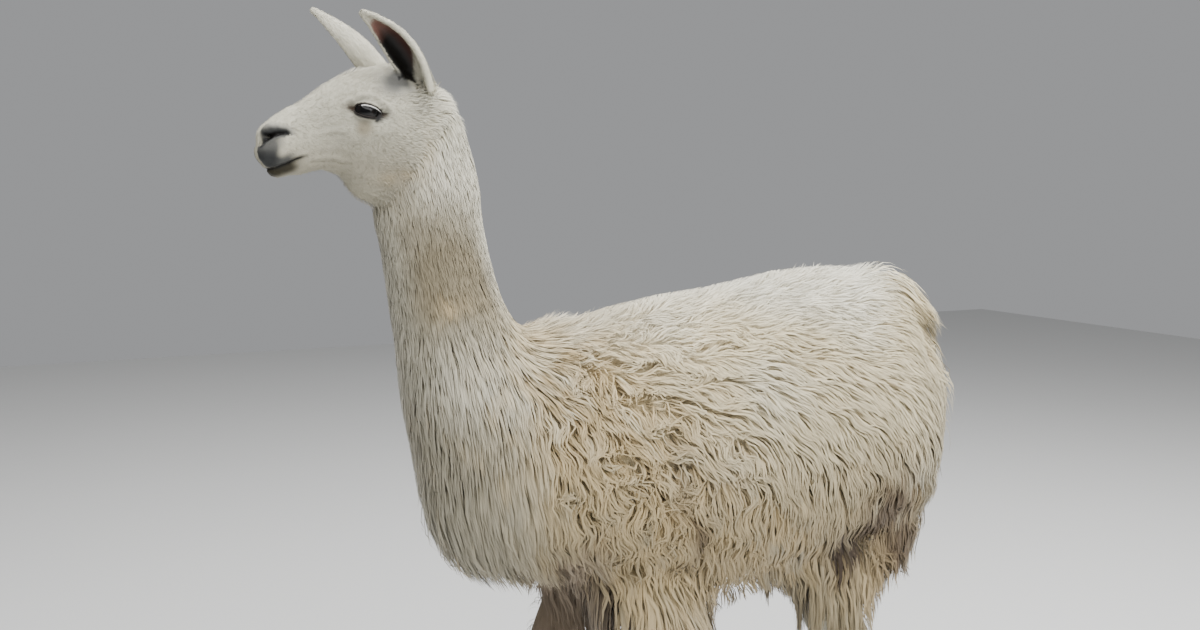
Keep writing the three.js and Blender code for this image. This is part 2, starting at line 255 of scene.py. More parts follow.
def eye_fillers():
    """Balls round the eyeballs, to lay the lids over."""
    points, triangles = ball(EYE_RADIUS + EYE_MARGIN, 3)
    return [(points + centre_of(node), triangles) for node in ("eye_left", "eye_right")]


def solids_of(nodes, extra=()):
    """The nodes' surfaces, swollen a little so that the gaps between them close."""
    solids = [welded(*arrays_of(NODES[name].data)) for name in nodes] + list(extra)
    return stacked([(points + normals_of(points, part) * SWELL, part) for points, part in solids])


def kept_half(mesh, upper):
    """A bmesh of one side of the throat cut."""
    bm = bmesh.new()
    bm.from_mesh(mesh)
    point, normal = THROAT_CUT
    bmesh.ops.bisect_plane(
        bm,
        geom=bm.verts[:] + bm.edges[:] + bm.faces[:],
        dist=1e-6,
        plane_co=Vector(point),
        plane_no=Vector(normal),
        clear_inner=upper,
        clear_outer=not upper,
    )
    return bm


def raw_skin():
    """The head as a fine mesh and the body as a coarser one, joined round the upper neck."""
    head_nodes = ["head", "muzzle", "lower_jaw", "neck", "ear_left", "ear_right"]
    upper = kept_half(remeshed(*solids_of(head_nodes, eye_fillers()), HEAD_VOXEL), True)
    lower = kept_half(remeshed(*solids_of(FLESH), BODY_VOXEL), False)
    scratch = bpy.data.meshes.new("scratch")
    lower.to_mesh(scratch)
    upper.from_mesh(scratch)
    lower.free()
    bmesh.ops.bridge_loops(upper, edges=[edge for edge in upper.edges if edge.is_boundary])
    bmesh.ops.triangulate(upper, faces=upper.faces[:])
    bmesh.ops.recalc_face_normals(upper, faces=upper.faces[:])
    upper.to_mesh(scratch)
    upper.free()
    return arrays_of(scratch)


def without_pockets(points, triangles):
    """The surface without the small closed pockets that the remesh leaves in the gaps."""
    found = np.zeros(len(points), dtype=bool)
    found[points[:, 2].argmin()] = True
    count = 0
    while found.sum() > count:
        count = found.sum()
        found[triangles[found[triangles].any(axis=1)]] = True
    number = np.cumsum(found) - 1
    return points[found], number[triangles[found[triangles[:, 0]]]]


def node_labels(points):
    """For each point the index in FLESH of the node nearest to it."""
    surfaces = [arrays_of(NODES[name].data) for name in FLESH]
    solids, triangles = stacked(surfaces)
    tree = BVHTree.FromPolygons(solids.tolist(), triangles.tolist())
    owners = np.repeat(np.arange(len(FLESH)), [len(part) for _, part in surfaces])
    return owners[[tree.find_nearest(point)[2] for point in points.tolist()]]


class Body:
    """The skin as arrays, with what each of its points belongs to."""

    def __init__(self, points, triangles):
        self.points, self.triangles = points, triangles
        self.edges = edges_of(triangles)
        self.label = node_labels(points)
        self.refresh()

    def refresh(self):
        """Works the normals out again after the points have moved."""
        self.normals = normals_of(self.points, self.triangles)

    def share(self, *starts):
        """1 on the points whose node's name begins with one of the words, else 0."""
        hit = np.array([name.startswith(starts) for name in FLESH])
        return hit[self.label].astype(float)

    def blurred(self, values, rounds=12):
        """Values of the points, spread over their neighbours."""
        flat = values.reshape(len(values), -1)
        spread = np.zeros((len(values), 3))
        spread[:, : flat.shape[1]] = flat
        spread = relaxed(spread, self.edges, np.full(len(values), 0.6), rounds)
        return spread[:, : flat.shape[1]].reshape(values.shape)

    def smooth(self, weight, rounds):
        """Relaxes the points, each by its own weight."""
        self.points = relaxed(self.points, self.edges, weight, rounds)
        self.refresh()


def coords(points):
    """Side, forward and height of the points."""
    return points[:, 0], ZERO - points[:, 1], points[:, 2]


def by_part(body, **amounts):
    """Each point's amount, by the word that its node's name begins with."""
    return sum(body.share(name) * amount for name, amount in amounts.items())


def coat_depth(body):
    """How far the skin lies below the outside of the coat."""
    _, forward, height = coords(body.points)
    depth = by_part(
        body,
        head=mix(0.0022, 0.006, ramp(forward, 0.62, 0.54)),
        lower_jaw=mix(0.0015, 0.007, ramp(forward, 0.72, 0.58)),
        muzzle=0.0004,
        ear=-0.0010,
        neck=mix(0.007, 0.028, ramp(height, 1.38, 1.02)),
        trunk=mix(0.028, 0.085, ramp(height, 0.86, 0.62)),
        tail=0.022,
        leg=mix(0.0025, 0.058, ramp(height, 0.46, 0.76)),
        foot=0.0014,
    )
    wool = body.blurred(body.share("trunk", "leg", "tail") * ramp(height, 0.5, 0.6), 6)
    return mix(body.blurred(depth, 8), body.blurred(depth, 60), wool)


def soften(body):
    """Takes the solids' facets off, a lot on the body and a little on the head and feet."""
    _, _, height = coords(body.points)
    lower_leg = body.share("leg", "foot") * ramp(height, 0.50, 0.42)
    fine = np.maximum(body.share("head", "muzzle", "lower_jaw", "ear"), lower_leg)
    body.smooth(0.5 * body.blurred(1 - fine, 4), 40)
    body.smooth(np.full(len(fine), 0.5), 4)


def shrink(body, depth, step=0.003):
    """Moves the surface in along its normals by the depth, a little at a time."""
    for k in range(int(math.ceil(depth.max() / step))):
        move = np.clip(depth - k * step, -step if k == 0 else 0, step)
        body.points = body.points - body.normals * move[:, None]
        body.smooth(0.6 * np.minimum(move / step, 1) * (depth > 0.008), 3)


skin = Body(*without_pockets(*raw_skin()))
soften(skin)
depth = coat_depth(skin)
shrink(skin, depth)


# ---- The head's features ----
EYE_TILT = -0.20  # the eye's long axis goes down to the rear
EYE_HALF = 0.0245  # half the opening's length
UPPER_LID, LOWER_LID = 0.0100, 0.0088  # the opening above and below its long axis
OPENING = (-0.0045, -0.0012)  # the opening's middle from the eyeball's, lengthwise and upward
LID_THICK = 0.0016
# Paths on the side of the face, as forward and height.
MOUTH_LINE = (
    (0.806, 1.391),
    (0.780, 1.392),
    (0.770, 1.394),
    (0.753, 1.401),
    (0.742, 1.407),
    (0.719, 1.415),
)
NOSTRIL_EDGE = ((0.795, 1.426), (0.785, 1.434), (0.776, 1.440), (0.767, 1.443), (0.759, 1.444))
EYE_TAIL = ((0.606, 1.479), (0.613, 1.471), (0.626, 1.464))
FOLDS = (
    ((0.715, 1.438), (0.700, 1.442), (0.683, 1.445), (0.655, 1.443)),
    ((0.725, 1.400), (0.705, 1.402), (0.685, 1.403), (0.645, 1.394)),
)


def turned(forward, height, centre, tilt):
    """Distances from the centre along and across a line tilted up to the front."""
    f, h = forward - centre[0], height - centre[1]
    return f * math.cos(tilt) + h * math.sin(tilt), h * math.cos(tilt) - f * math.sin(tilt)


def along_path(forward, height, path):
    """Signed distance above a path, and how far along it the nearest place is, 0 to 1."""
    best = np.full(len(forward), 1e9)
    sign, how_far = np.ones(len(forward)), np.zeros(len(forward))
    places = np.stack([forward, height], axis=1)
    steps = len(path) - 1
    for k in range(steps):
        start, step = np.array(path[k]), np.subtract(path[k + 1], path[k])
        t = np.clip((places - start) @ step / (step @ step), 0, 1)
        away = places - start - t[:, None] * step
        distance = np.hypot(away[:, 0], away[:, 1])
        nearer = distance < best
        best[nearer] = distance[nearer]
        how_far[nearer] = (k + t[nearer]) / steps
        sign[nearer] = np.sign(away[nearer, 1] + 1e-9)
    return best * sign, how_far


def eye_frame(side):
    """The eye's centre, and its outward, lengthwise (to the front) and upward directions."""
    out = unit(np.array([side * 0.95, -0.28, 0.10]))
    length = np.array([0.0, -math.cos(EYE_TILT), math.sin(-EYE_TILT)])
    length = unit(length - out * (length @ out))
    up = np.cross(length, out) * side
    if up[2] < 0:
        up = -up
    return centre_of("eye_left" if side > 0 else "eye_right"), out, length, up


def lid_height(x, upper):
    """How far the lid's edge is above or below the eye's long axis, x metres before its middle.
    The opening is blunt in front and runs out to a point behind."""
    t = np.clip(np.abs(x) / EYE_HALF, 0, 1)
    blunt = mix(2.0, 4.2 if upper else 3.0, ramp(x, -0.004, 0.004))
    return (UPPER_LID if upper else LOWER_LID) * (1 - t**blunt) ** 0.8


def round_eye(points, side):
    """Distances from the middle of an eye's opening lengthwise, upward and outward, the distance
    outside the opening's edge, less than 0 inside it, and the distance from the eye's centre."""
    centre, out, length, up = eye_frame(side)
    rel = points - centre
    x, y, z = rel @ length - OPENING[0], rel @ up - OPENING[1], rel @ out
    edge = np.where(y > 0, y - lid_height(x, True), -y - lid_height(x, False))
    past = np.maximum(np.abs(x) - EYE_HALF, 0)
    edge = np.hypot(np.maximum(edge, 0), past) + np.minimum(edge, 0) * (past == 0)
    return x, y, z, edge, np.linalg.norm(rel, axis=1)


def set_lids(body):
    """Draws the skin over the eyeballs as two lids round an almond opening."""
    for side in (1, -1):
        centre = eye_frame(side)[0]
        near = np.where(np.linalg.norm(body.points - centre, axis=1) < 0.046)[0]
        near = near[round_eye(body.points[near], side)[2] > 0.001]
        _, y, _, edge, radius = round_eye(body.points[near], side)
        lid = EYE_RADIUS + LID_THICK + 0.0010 * bell((edge - 0.004) / 0.003)
        target = mix(EYE_RADIUS - 0.004, lid, ramp(edge, -0.0004, 0.0010))
        crease = 0.0022 * bell((edge - 0.0080) / 0.002) * ramp(y, 0, 0.004)
        brow = 0.0030 * bell((edge - 0.014) / 0.005) * ramp(y, 0, 0.006)
        bag = 0.0010 * bell((edge - 0.009) / 0.003) * ramp(-y, 0, 0.004)
        new_radius = mix(radius, target, ramp(edge, 0.012, 0.003)) - crease + brow + bag
        rays = (body.points[near] - centre) / radius[:, None]
        body.points[near] = centre + rays * new_radius[:, None]
    body.refresh()


def nostril(forward, height):
    """The nostril's hollow, deepest at its lower edge, then its rim, black, grey and smoke; the
    last three are painted shade in and over the slit, on grey skin.
    """
    above, t = along_path(forward, height, NOSTRIL_EDGE)
    tall = mix(0.0230, 0.0100, t)
    pit = ramp(above, -0.0008, 0.0012) * np.clip(1 - above / tall, 0, 1) ** 1.2
    rim = bell((above + 0.0022) / 0.0016) * ramp(t, 0.02, 0.2)
    black = ramp(above, -0.0010, 0.0004) * ramp(above, 0.75 * tall, 0.30 * tall)
    grey = ramp(above, -0.0040, 0.0) * ramp(above, 1.40 * tall, 0.50 * tall)
    smoke = ramp(above, -0.0040, 0.0) * ramp(above, 2.20 * tall, 0.80 * tall)
    return pit, rim, black, grey, smoke


def set_muzzle(body):
    """Opens the nostrils, parts the lips and presses in the folds of the face."""
    side, forward, height = coords(body.points)
    face = body.blurred(body.share("head", "muzzle", "lower_jaw"), 2) * (forward > 0.62)
    flank = ramp(np.abs(side), 0.007, 0.014)
    pit, rim, _, _, _ = nostril(forward, height)
    inward = np.sign(side)[:, None] * (-0.8, 0, 0) + np.array([0, 0.5, 0.2])
    move = inward * (pit * 0.010 * flank * face)[:, None]
    move += body.normals * (0.0014 * rim * flank * face)[:, None]
    above, t = along_path(forward, height, MOUTH_LINE)
    end = ramp(t, 1.0, 0.75)
    lips = -0.0030 * bell(above / 0.0020) * end + 0.0014 * bell((above - 0.005) / 0.0035) * end
    lips -= 0.0048 * ramp(above, 0.0008, -0.0016) * ramp(above, -0.017, -0.004) * end
    for fold in FOLDS:
        above, t = along_path(forward, height, fold)
        fade = ramp(t, 0.0, 0.2) * ramp(t, 1.0, 0.7)
        lips += (-0.0014 * bell(above / 0.003) + 0.0010 * bell((above - 0.007) / 0.005)) * fade
    cleft = -0.0045 * bell(side / 0.0026) * ramp(forward, 0.782, 0.792)
    cleft *= ramp(height, 1.392, 1.400) * ramp(height, 1.440, 1.425)
    move += unit(body.blurred(body.normals, 6)) * ((lips + cleft) * face)[:, None]
    body.points = body.points + move
    body.refresh()


set_muzzle(skin)
set_lids(skin)


# ---- Marks and painted shade ----
CREAM = (0.535, 0.465, 0.308)
BRIGHT = (0.60, 0.575, 0.475)
WHITE = (0.505, 0.483, 0.388)
SHADE = (0.190, 0.161, 0.104)
TAN = (0.365, 0.278, 0.146)
# dirt, also laid on as painted shade in the creases behind the forelegs and under the belly
DIRT_AND_SHADE = (0.088, 0.060, 0.032)
SOOT = (0.036, 0.023, 0.013)
GREY = (0.022, 0.023, 0.023)
SMOKE = (0.085, 0.084, 0.077)
DARK = (0.004, 0.0035, 0.003)
LIP_SHADOW = (0.030, 0.026, 0.016)
PINK = (0.14, 0.070, 0.055)
EAR_RED = (0.055, 0.025, 0.020)
# short-haired brown skin, also used as painted shade inside the forelegs and behind the apron
BARE_BROWN_AND_SHADE = (0.20, 0.155, 0.115)
TAIL_TINT = (0.56, 0.475, 0.285)
ROOT_TINT = (1.00, 0.95, 0.86)  # the locks' colour is multiplied by this at their roots
CLOUDS = ((0.22, 21, 0), (0.07, 22, 1), (0.022, 23, 2))  # size, seed and axis of each noise
# Stains, and painted shade in the creases behind the forelegs, in the fold behind the jaw and
# round the ears.
STAINS_AND_SHADE = (  # colour, strength, then side (0 for both), forward, height and the two radii
    (TAN, 0.85, 0, 0.30, 1.03, 0.12, 0.10),
    (TAN, 0.75, 0, 0.24, 0.90, 0.16, 0.16),
    (TAN, 0.90, 0, 0.18, 0.72, 0.14, 0.12),
    (TAN, 0.65, 0, 0.05, 0.72, 0.20, 0.10),
    (TAN, 0.55, 0, 0.33, 0.93, 0.05, 0.12),
    (TAN, 0.75, 0, -0.10, 0.68, 0.22, 0.08),
    (TAIL_TINT, 0.90, 0, -0.47, 1.12, 0.06, 0.10),
    (TAN, 1.30, 0, -0.32, 0.71, 0.10, 0.11),
    # painted shade: these two narrow rows darken the creases between the forelegs and the belly
    (DIRT_AND_SHADE, 0.50, 0, 0.150, 0.870, 0.014, 0.060),
    (DIRT_AND_SHADE, 0.60, 0, 0.105, 0.755, 0.014, 0.060),
    (DIRT_AND_SHADE, 1.40, 0, -0.288, 0.762, 0.055, 0.060),
    (DIRT_AND_SHADE, 1.30, 0, -0.345, 0.690, 0.045, 0.060),
    (SOOT, 1.80, 0, -0.218, 0.690, 0.034, 0.032),
    (DIRT_AND_SHADE, 0.80, 0, -0.31, 0.60, 0.04, 0.06),
    (TAN, 0.50, 1, 0.513, 1.165, 0.035, 0.018),
    (TAN, 0.50, 0, 0.580, 1.378, 0.030, 0.012),
    # painted shade, a brownish tan, in the fold behind the jaw
    (TAN, 0.35, 0, 0.540, 1.420, 0.014, 0.035),
    # painted shade at the ears' bases; the last row is the shadow below the ear
    (SMOKE, 0.95, 0, 0.580, 1.532, 0.026, 0.016),
    (SMOKE, 0.50, 0, 0.592, 1.523, 0.036, 0.018),
    (SMOKE, 0.25, 0, 0.552, 1.495, 0.016, 0.024),
)


def blot(forward, height, centre, radii, tilt=0.0, soft=0.35):
    """1 inside a tilted ellipse, fading to 0 across its edge."""
    x, y = turned(forward, height, centre, tilt)
    return ramp(np.hypot(x / radii[0], y / radii[1]), 1 + soft, 1 - soft)


def beside_tail(side, forward, height):
    """1 in the partings between the tail and the rump."""
    parting = bell((np.abs(side) - 0.078) / 0.020) * bell((height - 1.02) / 0.12)
    return parting * ramp(forward, -0.36, -0.42)


def armpit(forward, height):
    """1 on the short brown hair behind the chest's apron, whose brown is partly painted shade."""
    return bell((forward - 0.312) / 0.048) * ramp(height, 0.77, 0.71)


def layered(colour, *layers):
    """The colour with tints laid over it in turn, each by its own amount."""
    for tint, amount in layers:
        colour = blend(colour, tint, np.clip(amount, 0, 1))
    return colour


def markings_and_shade(points):
    """The animal's colours at any place on its skin, with painted shade on the neck's side, the
    chest, under the jaw, low on the body, in creases and round the ears.
    """
    side, forward, height = coords(points)
    out = np.abs(side)
    cloud, patch, fleck = (wander(points, size, seed)[:, axis] for size, seed, axis in CLOUDS)
    front = ramp(forward, 0.34, 0.44)
    neck = front * ramp(height, 1.42, 1.30)
    white = np.maximum(front, ramp(height, 0.52, 0.46))
    brow = 0.35 * ramp(height - 0.45 * (forward - 0.6), 1.46, 1.54) * front
    colour = layered(
        np.array(CREAM),
        (WHITE, white + 0.25 * cloud * (1 - front)),
        (BRIGHT, ramp(height, 1.08, 1.20) * (1 - front) + brow + 0.2 * cloud),
        # the neck's side: painted shade, and wool that is darker and yellower there
        (SHADE, 1.1 * neck * bell((height - 1.22) / 0.15) * ramp(out, 0.03, 0.08)),
        # painted shade on the chest, under the neck
        (SHADE, 0.65 * front * ramp(height, 1.06, 0.92)),
        # painted shade under the jaw, darker towards the bottom
        (SHADE, 0.45 * ramp(forward, 0.53, 0.58) * ramp(height, 1.46, 1.39)),
        (TAN, 0.40 * (1 - front) * ramp(height, 1.02, 0.76) * ramp(forward, -0.36, -0.28)),
    )
    dim = mix(1.0, 0.86, ramp(forward, 0.52, 0.60) * ramp(height, 1.34, 1.40))
    # painted shade with dirtier wool: darker low on the body behind the chest; the next line
    # lightens the lower legs again
    dim *= mix(1.0, 0.64, ramp(height, 1.00, 0.76) * (1 - front))
    dim *= mix(1.0, 1.40, ramp(height, 0.50, 0.42)) * mix(1.0, 0.88, ramp(forward, -0.32, -0.44))
    colour = colour * (dim * (1 + 0.04 * patch + 0.03 * fleck))[:, None]
    colour = layered(colour, (TAN, ramp(patch + fleck, 0.7, 2.6) * 0.35 * ramp(height, 1.15, 0.9)))
    uneven = np.clip(1 + 0.45 * patch + 0.35 * fleck, 0, 1.6)
    # the rows' tints: stains, and painted shade in a few places
    for mark_colour, strength, only, *where in STAINS_AND_SHADE:
        amount = spot(forward, height, *where) * (strength * uneven)
        colour = layered(colour, (mark_colour, amount * (ramp(side * only, 0, 0.03) if only else 1.0)))
    belly = ramp(height, 0.74, 0.66) * ramp(height, 0.42, 0.56) * ramp(out, 0.13, 0.07)
    inner_leg = ramp(height, 0.72, 0.62) * ramp(height, 0.36, 0.50) * ramp(out, 0.15, 0.10)
    return layered(
        colour,
        # painted shade in the partings beside the tail
        (TAN, 0.35 * beside_tail(side, forward, height)),
        (TAN, 0.45 * ramp(height, 0.14, 0.03) * np.clip(1 + 0.6 * fleck, 0, 2)),
        (SHADE, 0.35 * bell((height - 0.40) / 0.05) * np.clip(0.6 + fleck, 0, 1)),
        # under the belly: dirt, and painted shade
        (DIRT_AND_SHADE, 0.75 * belly),
        # inside the forelegs and behind the apron: brown skin under short hair, and painted shade
        (BARE_BROWN_AND_SHADE, 0.75 * np.maximum(armpit(forward, height), inner_leg * (forward > 0))),
    )


def mouth_marks_and_shade(body, colour):
    """The dark skin of the nose and lips, painted shade in the nostrils' slits and along the
    mouth's crease, and the streaks behind and below the eyes.
    """
    side, forward, height = coords(body.points)
    face = body.share("head", "muzzle", "lower_jaw") * (forward > 0.5)
    outer = ramp(np.abs(side), 0.009, 0.017) * face
    _, rim, black, grey, smoke = nostril(forward, height)
    above, t = along_path(forward, height, MOUTH_LINE)
    between = blot(forward, height, (0.782, 1.430), (0.019, 0.013), -0.45, 0.6)
    lip = blot(forward, height, (0.787, 1.409), (0.018, 0.022), 0.1, 0.45)
    edge_band = ramp(above, 0.018, 0.007) * ramp(above, -0.001, 0.001) * ramp(t, 0.95, 0.60)
    shadow = ramp(above, -0.023, -0.010) * ramp(above, 0.001, -0.001) * ramp(t, 1.0, 0.60)
    streak = blot(forward, height, (0.640, 1.456), (0.012, 0.013), 0.0, 0.6)
    tail_above, tail_t = along_path(forward, height, EYE_TAIL)
    return layered(
        colour,
        # the nose's and lips' grey skin, with the smoke over each nostril's slit as painted shade
        (SMOKE, (0.95 * between + edge_band + lip + smoke) * outer),
        (GREY, 0.5 * edge_band * outer),
        # the grey over each nostril's slit is painted shade on the nose's grey skin; the lip's
        # grey is its own
        (GREY, (grey + lip * ramp(height, 1.436, 1.408)) * outer),
        (SMOKE, 0.8 * rim * outer),
        # painted shade: black in each nostril's slit
        (DARK, black * outer),
        (LIP_SHADOW, shadow * ramp(forward, 0.800, 0.785) * face),
        # painted shade: the dark line along the mouth's crease
        (DARK, bell(above / 0.0024) * ramp(t, 1.0, 0.85) * face),
        (DARK, bell(tail_above / 0.0038) * ramp(tail_t, 1.0, 0.85) * face),
        (SHADE, 0.75 * streak * face),
    )


def eye_marks_and_shade(body, colour):
    """The dark lids' edges, the soot at their corners, and a faint grey painted shade round the
    eyes.
    """
    for side in (1, -1):
        x, y, z, edge, away = round_eye(body.points, side)
        edge = np.maximum(edge, 0)
        here = (z > 0.002) * (away < 0.05)
        below = ramp(-y, 0.0, 0.004)
        tear = 1.3 * bell((x - 0.028) / 0.009) * bell((y - 0.001) / 0.005)
        tear += bell((x + 0.026) / 0.005) * bell((y + 0.001) / 0.004)
        colour = layered(
            colour,
            (DARK, ramp(edge, mix(0.0030, 0.0052, below), mix(0.0014, 0.0028, below)) * here),
            (SOOT, 0.9 * tear * here),
            # painted shade: a faint grey ring in the lids' crease round the eye
            (GREY, 0.25 * bell((edge - 0.006) / 0.005) * here),
        )
    return colour


def ear_parts(name, points):
    """For points of an ear: how far along it they are, which way round its arc, -1 at the inner
    edge to 1 at the outer one, and the nearest places on its curved axis."""
    sign, base, reach, bow = EARS[name]
    start = place(sign * base[0], base[1], base[2])
    rise = 0.9 * bow
    bend = start + heading(sign * 0.35 * reach[0], 0.5 * reach[1] - rise, 0.5 * reach[2] + rise)
    tip = start + heading(sign * reach[0], reach[1], reach[2])
    steps = np.linspace(0, 1, 40)[:, None]
    curve = start * (1 - steps) ** 2 + 2 * steps * (1 - steps) * bend + tip * steps**2
    nearest = np.linalg.norm(points[:, None] - curve[None], axis=2).argmin(axis=1)
    t = steps[nearest, 0]
    along = unit(blend((bend - start)[None], tip - bend, t))
    back = unit(np.cross(along, np.array([1.0, 0.0, 0.0])))
    outward = sign * np.cross(back, along)
    rel = points - curve[nearest]
    angle = np.arctan2((rel * outward).sum(axis=1), (rel * back).sum(axis=1)) + EAR_SPIN
    angle = (angle + math.pi) % (2 * math.pi) - math.pi
    half_arc = mix(2.2, 1.45, np.minimum(t * 1.5, 1))
    return t, angle / half_arc, curve[nearest]


def ear_lining(body, name):
    """The points near an ear, how far they belong to its bare inside, and how far along it and
    round its arc they are."""
    near = np.where(body.share(name, "head") * (coords(body.points)[2] > 1.50))[0]
    t, arc, axis = ear_parts(name, body.points[near])
    facing = ((axis - body.points[near]) * body.normals[near]).sum(axis=1)
    reach = np.linalg.norm(axis - body.points[near], axis=1)
    rear = mix(-0.40, 0.55, ramp(t, 0.05, 0.50))
    front = mix(-0.50, -1.40, ramp(t, 0.05, 0.35))
    inner = ramp(facing, 0.001, 0.006) * (reach < 0.028)
    inner = inner * ramp(arc - rear, 0.16, -0.16) * ramp(arc - front, -0.12, 0.12)
    return near, inner, t, arc


def ear_markings(body, colour):
    """The ears' linings: black, redder to the outside and pink towards the tip."""
    for name in EARS:
        near, inner, t, arc = ear_lining(body, name)
        lining = blend(np.array(DARK), EAR_RED, ramp(arc, -0.35, 0.35))
        lining = blend(lining, PINK, ramp(t, 0.58, 0.80))
        inner = inner * ramp(t, 0.92, 0.80)
        colour[near] = blend(colour[near], lining, inner)
    return colour


skin_colour = markings_and_shade(skin.points)
for marked in (mouth_marks_and_shade, eye_marks_and_shade, ear_markings):
    skin_colour = marked(skin, skin_colour)


# ---- The lie of the coat ----
LOOSE = (  # share of the locks that stand out, then forward, height and the two radii
    (0.80, 0.512, 1.495, 0.026, 0.040),
    (0.40, 0.540, 1.500, 0.018, 0.016),
    (0.50, 0.650, 1.542, 0.034, 0.014),
    (0.75, 0.325, 1.105, 0.060, 0.035),
    (0.40, -0.320, 1.185, 0.080, 0.030),
    (0.30, -0.450, 1.050, 0.040, 0.070),
    (0.30, -0.470, 1.130, 0.050, 0.045),
    (0.10, 0.480, 0.760, 0.100, 0.080),
)
LOOSE_RISE = 0.018  # how far a loose lock may rise above the rest
OFF_FLOOR = 0.002  # the least height of a lock's line
RAISED = (  # extra height of the coat, then forward, height and the two radii
    (0.009, 0.512, 1.490, 0.034, 0.040),
    (0.006, 0.540, 1.500, 0.018, 0.016),
    (0.012, -0.335, 1.180, 0.090, 0.040),
    (0.012, 0.345, 1.085, 0.045, 0.035),
    (-0.016, 0.150, 0.870, 0.016, 0.060),
    (-0.018, 0.105, 0.755, 0.016, 0.060),
    (0.014, -0.460, 1.135, 0.040, 0.035),
    (-0.034, -0.445, 1.066, 0.050, 0.030),
)
SHORT_ABOVE_TAIL = (-0.455, 1.100, 0.05, 0.035)  # forward, height and the two radii
LEAST_LIFT = 0.0013  # the coat's least height above the skin
# Heights on the chest, and how far forward its long straight hair begins there.
APRON = ((0.70, 0.73, 0.857, 0.985, 1.13), (0.290, 0.303, 0.350, 0.386, 0.395))


def apron_edge(height):
    """How far forward the long straight hair of the chest begins, at a height."""
    return np.interp(height, *APRON)


def flow_of(body):
    """The way the coat lies at each point of the skin, as rows of directions."""
    side, forward, height = coords(body.points)
    sign = np.tanh(side / 0.03)
    one = np.ones(len(side))

    def direction(s, f, h):
        return unit(np.stack([s * one, -f * one, h * one], axis=1))

    steep = ramp(height, 1.13, 0.78)
    steep = np.maximum(steep, 0.75 * ramp(forward, -0.30, -0.48))
    steep = np.maximum(steep, 0.8 * ramp(forward, 0.10, 0.28))
    steep = np.maximum(steep, ramp(forward - apron_edge(height), -0.06, 0.0))
    angle = np.radians(mix(10.0, 80.0, steep))
    trunk = direction(0.25 * sign, -np.cos(angle), -np.sin(angle))
    neck_back = ramp(forward, 0.40, 0.33) * ramp(height, 1.18, 1.10)
    neck = direction(0.15 * sign, -0.18 - 0.8 * neck_back, -1 + 0.6 * neck_back)
    head = direction(0.30 * sign, -1, mix(0.35, -0.55, ramp(height, 1.52, 1.42)))
    jaw = direction(0.1 * sign, -1, -0.25)
    leg = direction(0, -0.15, -1)
    tail = direction(0.35 * sign, -0.75, -0.7)
    field = np.zeros_like(body.points)
    for names, part in (
        (("trunk",), trunk),
        (("neck",), neck),
        (("head", "muzzle"), head),
        (("lower_jaw",), jaw),
        (("leg", "foot"), leg),
        (("tail",), tail),
    ):
        field += part * body.share(*names)[:, None]
    for name in EARS:
        near = np.where(body.label == FLESH.index(name))[0]
        sign_ear, _, reach, _ = EARS[name]
        field[near] = unit(heading(sign_ear * reach[0], reach[1], reach[2]))
    field = body.blurred(field, 30)
    field -= body.normals * (field * body.normals).sum(axis=1, keepdims=True)
    return unit(field)


def cover_of(body, colour):
    """1 where tufts grow, 0 on the nose, lips and lids, inside the ears and on the soles."""
    pale = colour.sum(axis=1) / 3
    cover = 1 - body.share("head", "muzzle", "lower_jaw") * ramp(pale, 0.35, 0.20)
    cover *= 1 - (body.points[:, 2] < 0.012) * (body.normals[:, 2] < -0.5)
    for name in EARS:
        near, inner, _, _ = ear_lining(body, name)
        cover[near] *= 1 - inner
    for side in (1, -1):
        cover *= ramp(np.linalg.norm(body.points - eye_frame(side)[0], axis=1), 0.0245, 0.0265)
    return cover


def regions_of(body):
    """How far each point of the skin belongs to the parts of the coat that differ."""
    side, forward, height = coords(body.points)
    inward = ramp(-body.normals[:, 0] * np.sign(side), -0.2, 0.3)
    return SimpleNamespace(
        side=side,
        forward=forward,
        height=height,
        trunk=body.share("trunk"),
        leg=body.share("leg"),
        tail=body.share("tail"),
        shoulder=spot(forward, height, 0.20, 0.88, 0.17, 0.26),
        chest=ramp(forward - apron_edge(height), -0.02, 0.03) * ramp(height, 1.10, 0.95),
        rump=ramp(forward, -0.34, -0.46),
        flank=ramp(height, 1.00, 0.76),
        under=ramp(-body.normals[:, 2], 0.58, 0.92),
        pit=armpit(forward, height),
        inside=np.maximum(inward, ramp(-body.normals[:, 1], 0.1, 0.6) * (forward > 0)),
        loose=spots(LOOSE, forward, height),
    )


def lock_lengths(body, at):
    """How long the locks are."""
    short = np.maximum(0.6 * at.under + 0.2 * at.under * (at.forward > 0.1), 0.85 * at.pit)
    side = 0.044 + 0.018 * ramp(at.height, 1.12, 0.98) + 0.045 * at.flank + 0.012 * at.shoulder
    fringe = 0.075 * ramp(at.height, 0.80, 0.70) * (1 - at.chest) * (1 - 0.6 * at.under)
    length = by_part(
        body,
        trunk=(side + 0.03 * at.chest + 0.03 * at.rump) * (1 - short) + fringe * (1 - at.pit),
        neck=mix(0.027, 0.068, ramp(at.height, 1.40, 1.02)) + 0.022 * at.loose,
        head=mix(0.0060, 0.013, ramp(at.forward, 0.60, 0.53)) + 0.022 * at.loose,
        lower_jaw=mix(0.0055, 0.013, ramp(at.forward, 0.64, 0.55)),
        muzzle=0.0032,
        ear=0.0085,
        tail=0.105,
        leg=mix(0.017, mix(0.065, 0.020, at.inside), ramp(at.height, 0.42, 0.60)),
        foot=0.009,
    )
    length *= 1 - 0.55 * spot(at.forward, at.height, *SHORT_ABOVE_TAIL)
    return body.blurred(length, 6)


def coat_heights(body, at, depth):
    """How high above the skin the outside of the coat is."""
    height = np.maximum(depth, LEAST_LIFT) + 0.0015 * body.share("foot")
    height += spots(RAISED, at.forward, at.height)
    return np.maximum(height - 0.022 * beside_tail(at.side, at.forward, at.height), LEAST_LIFT)


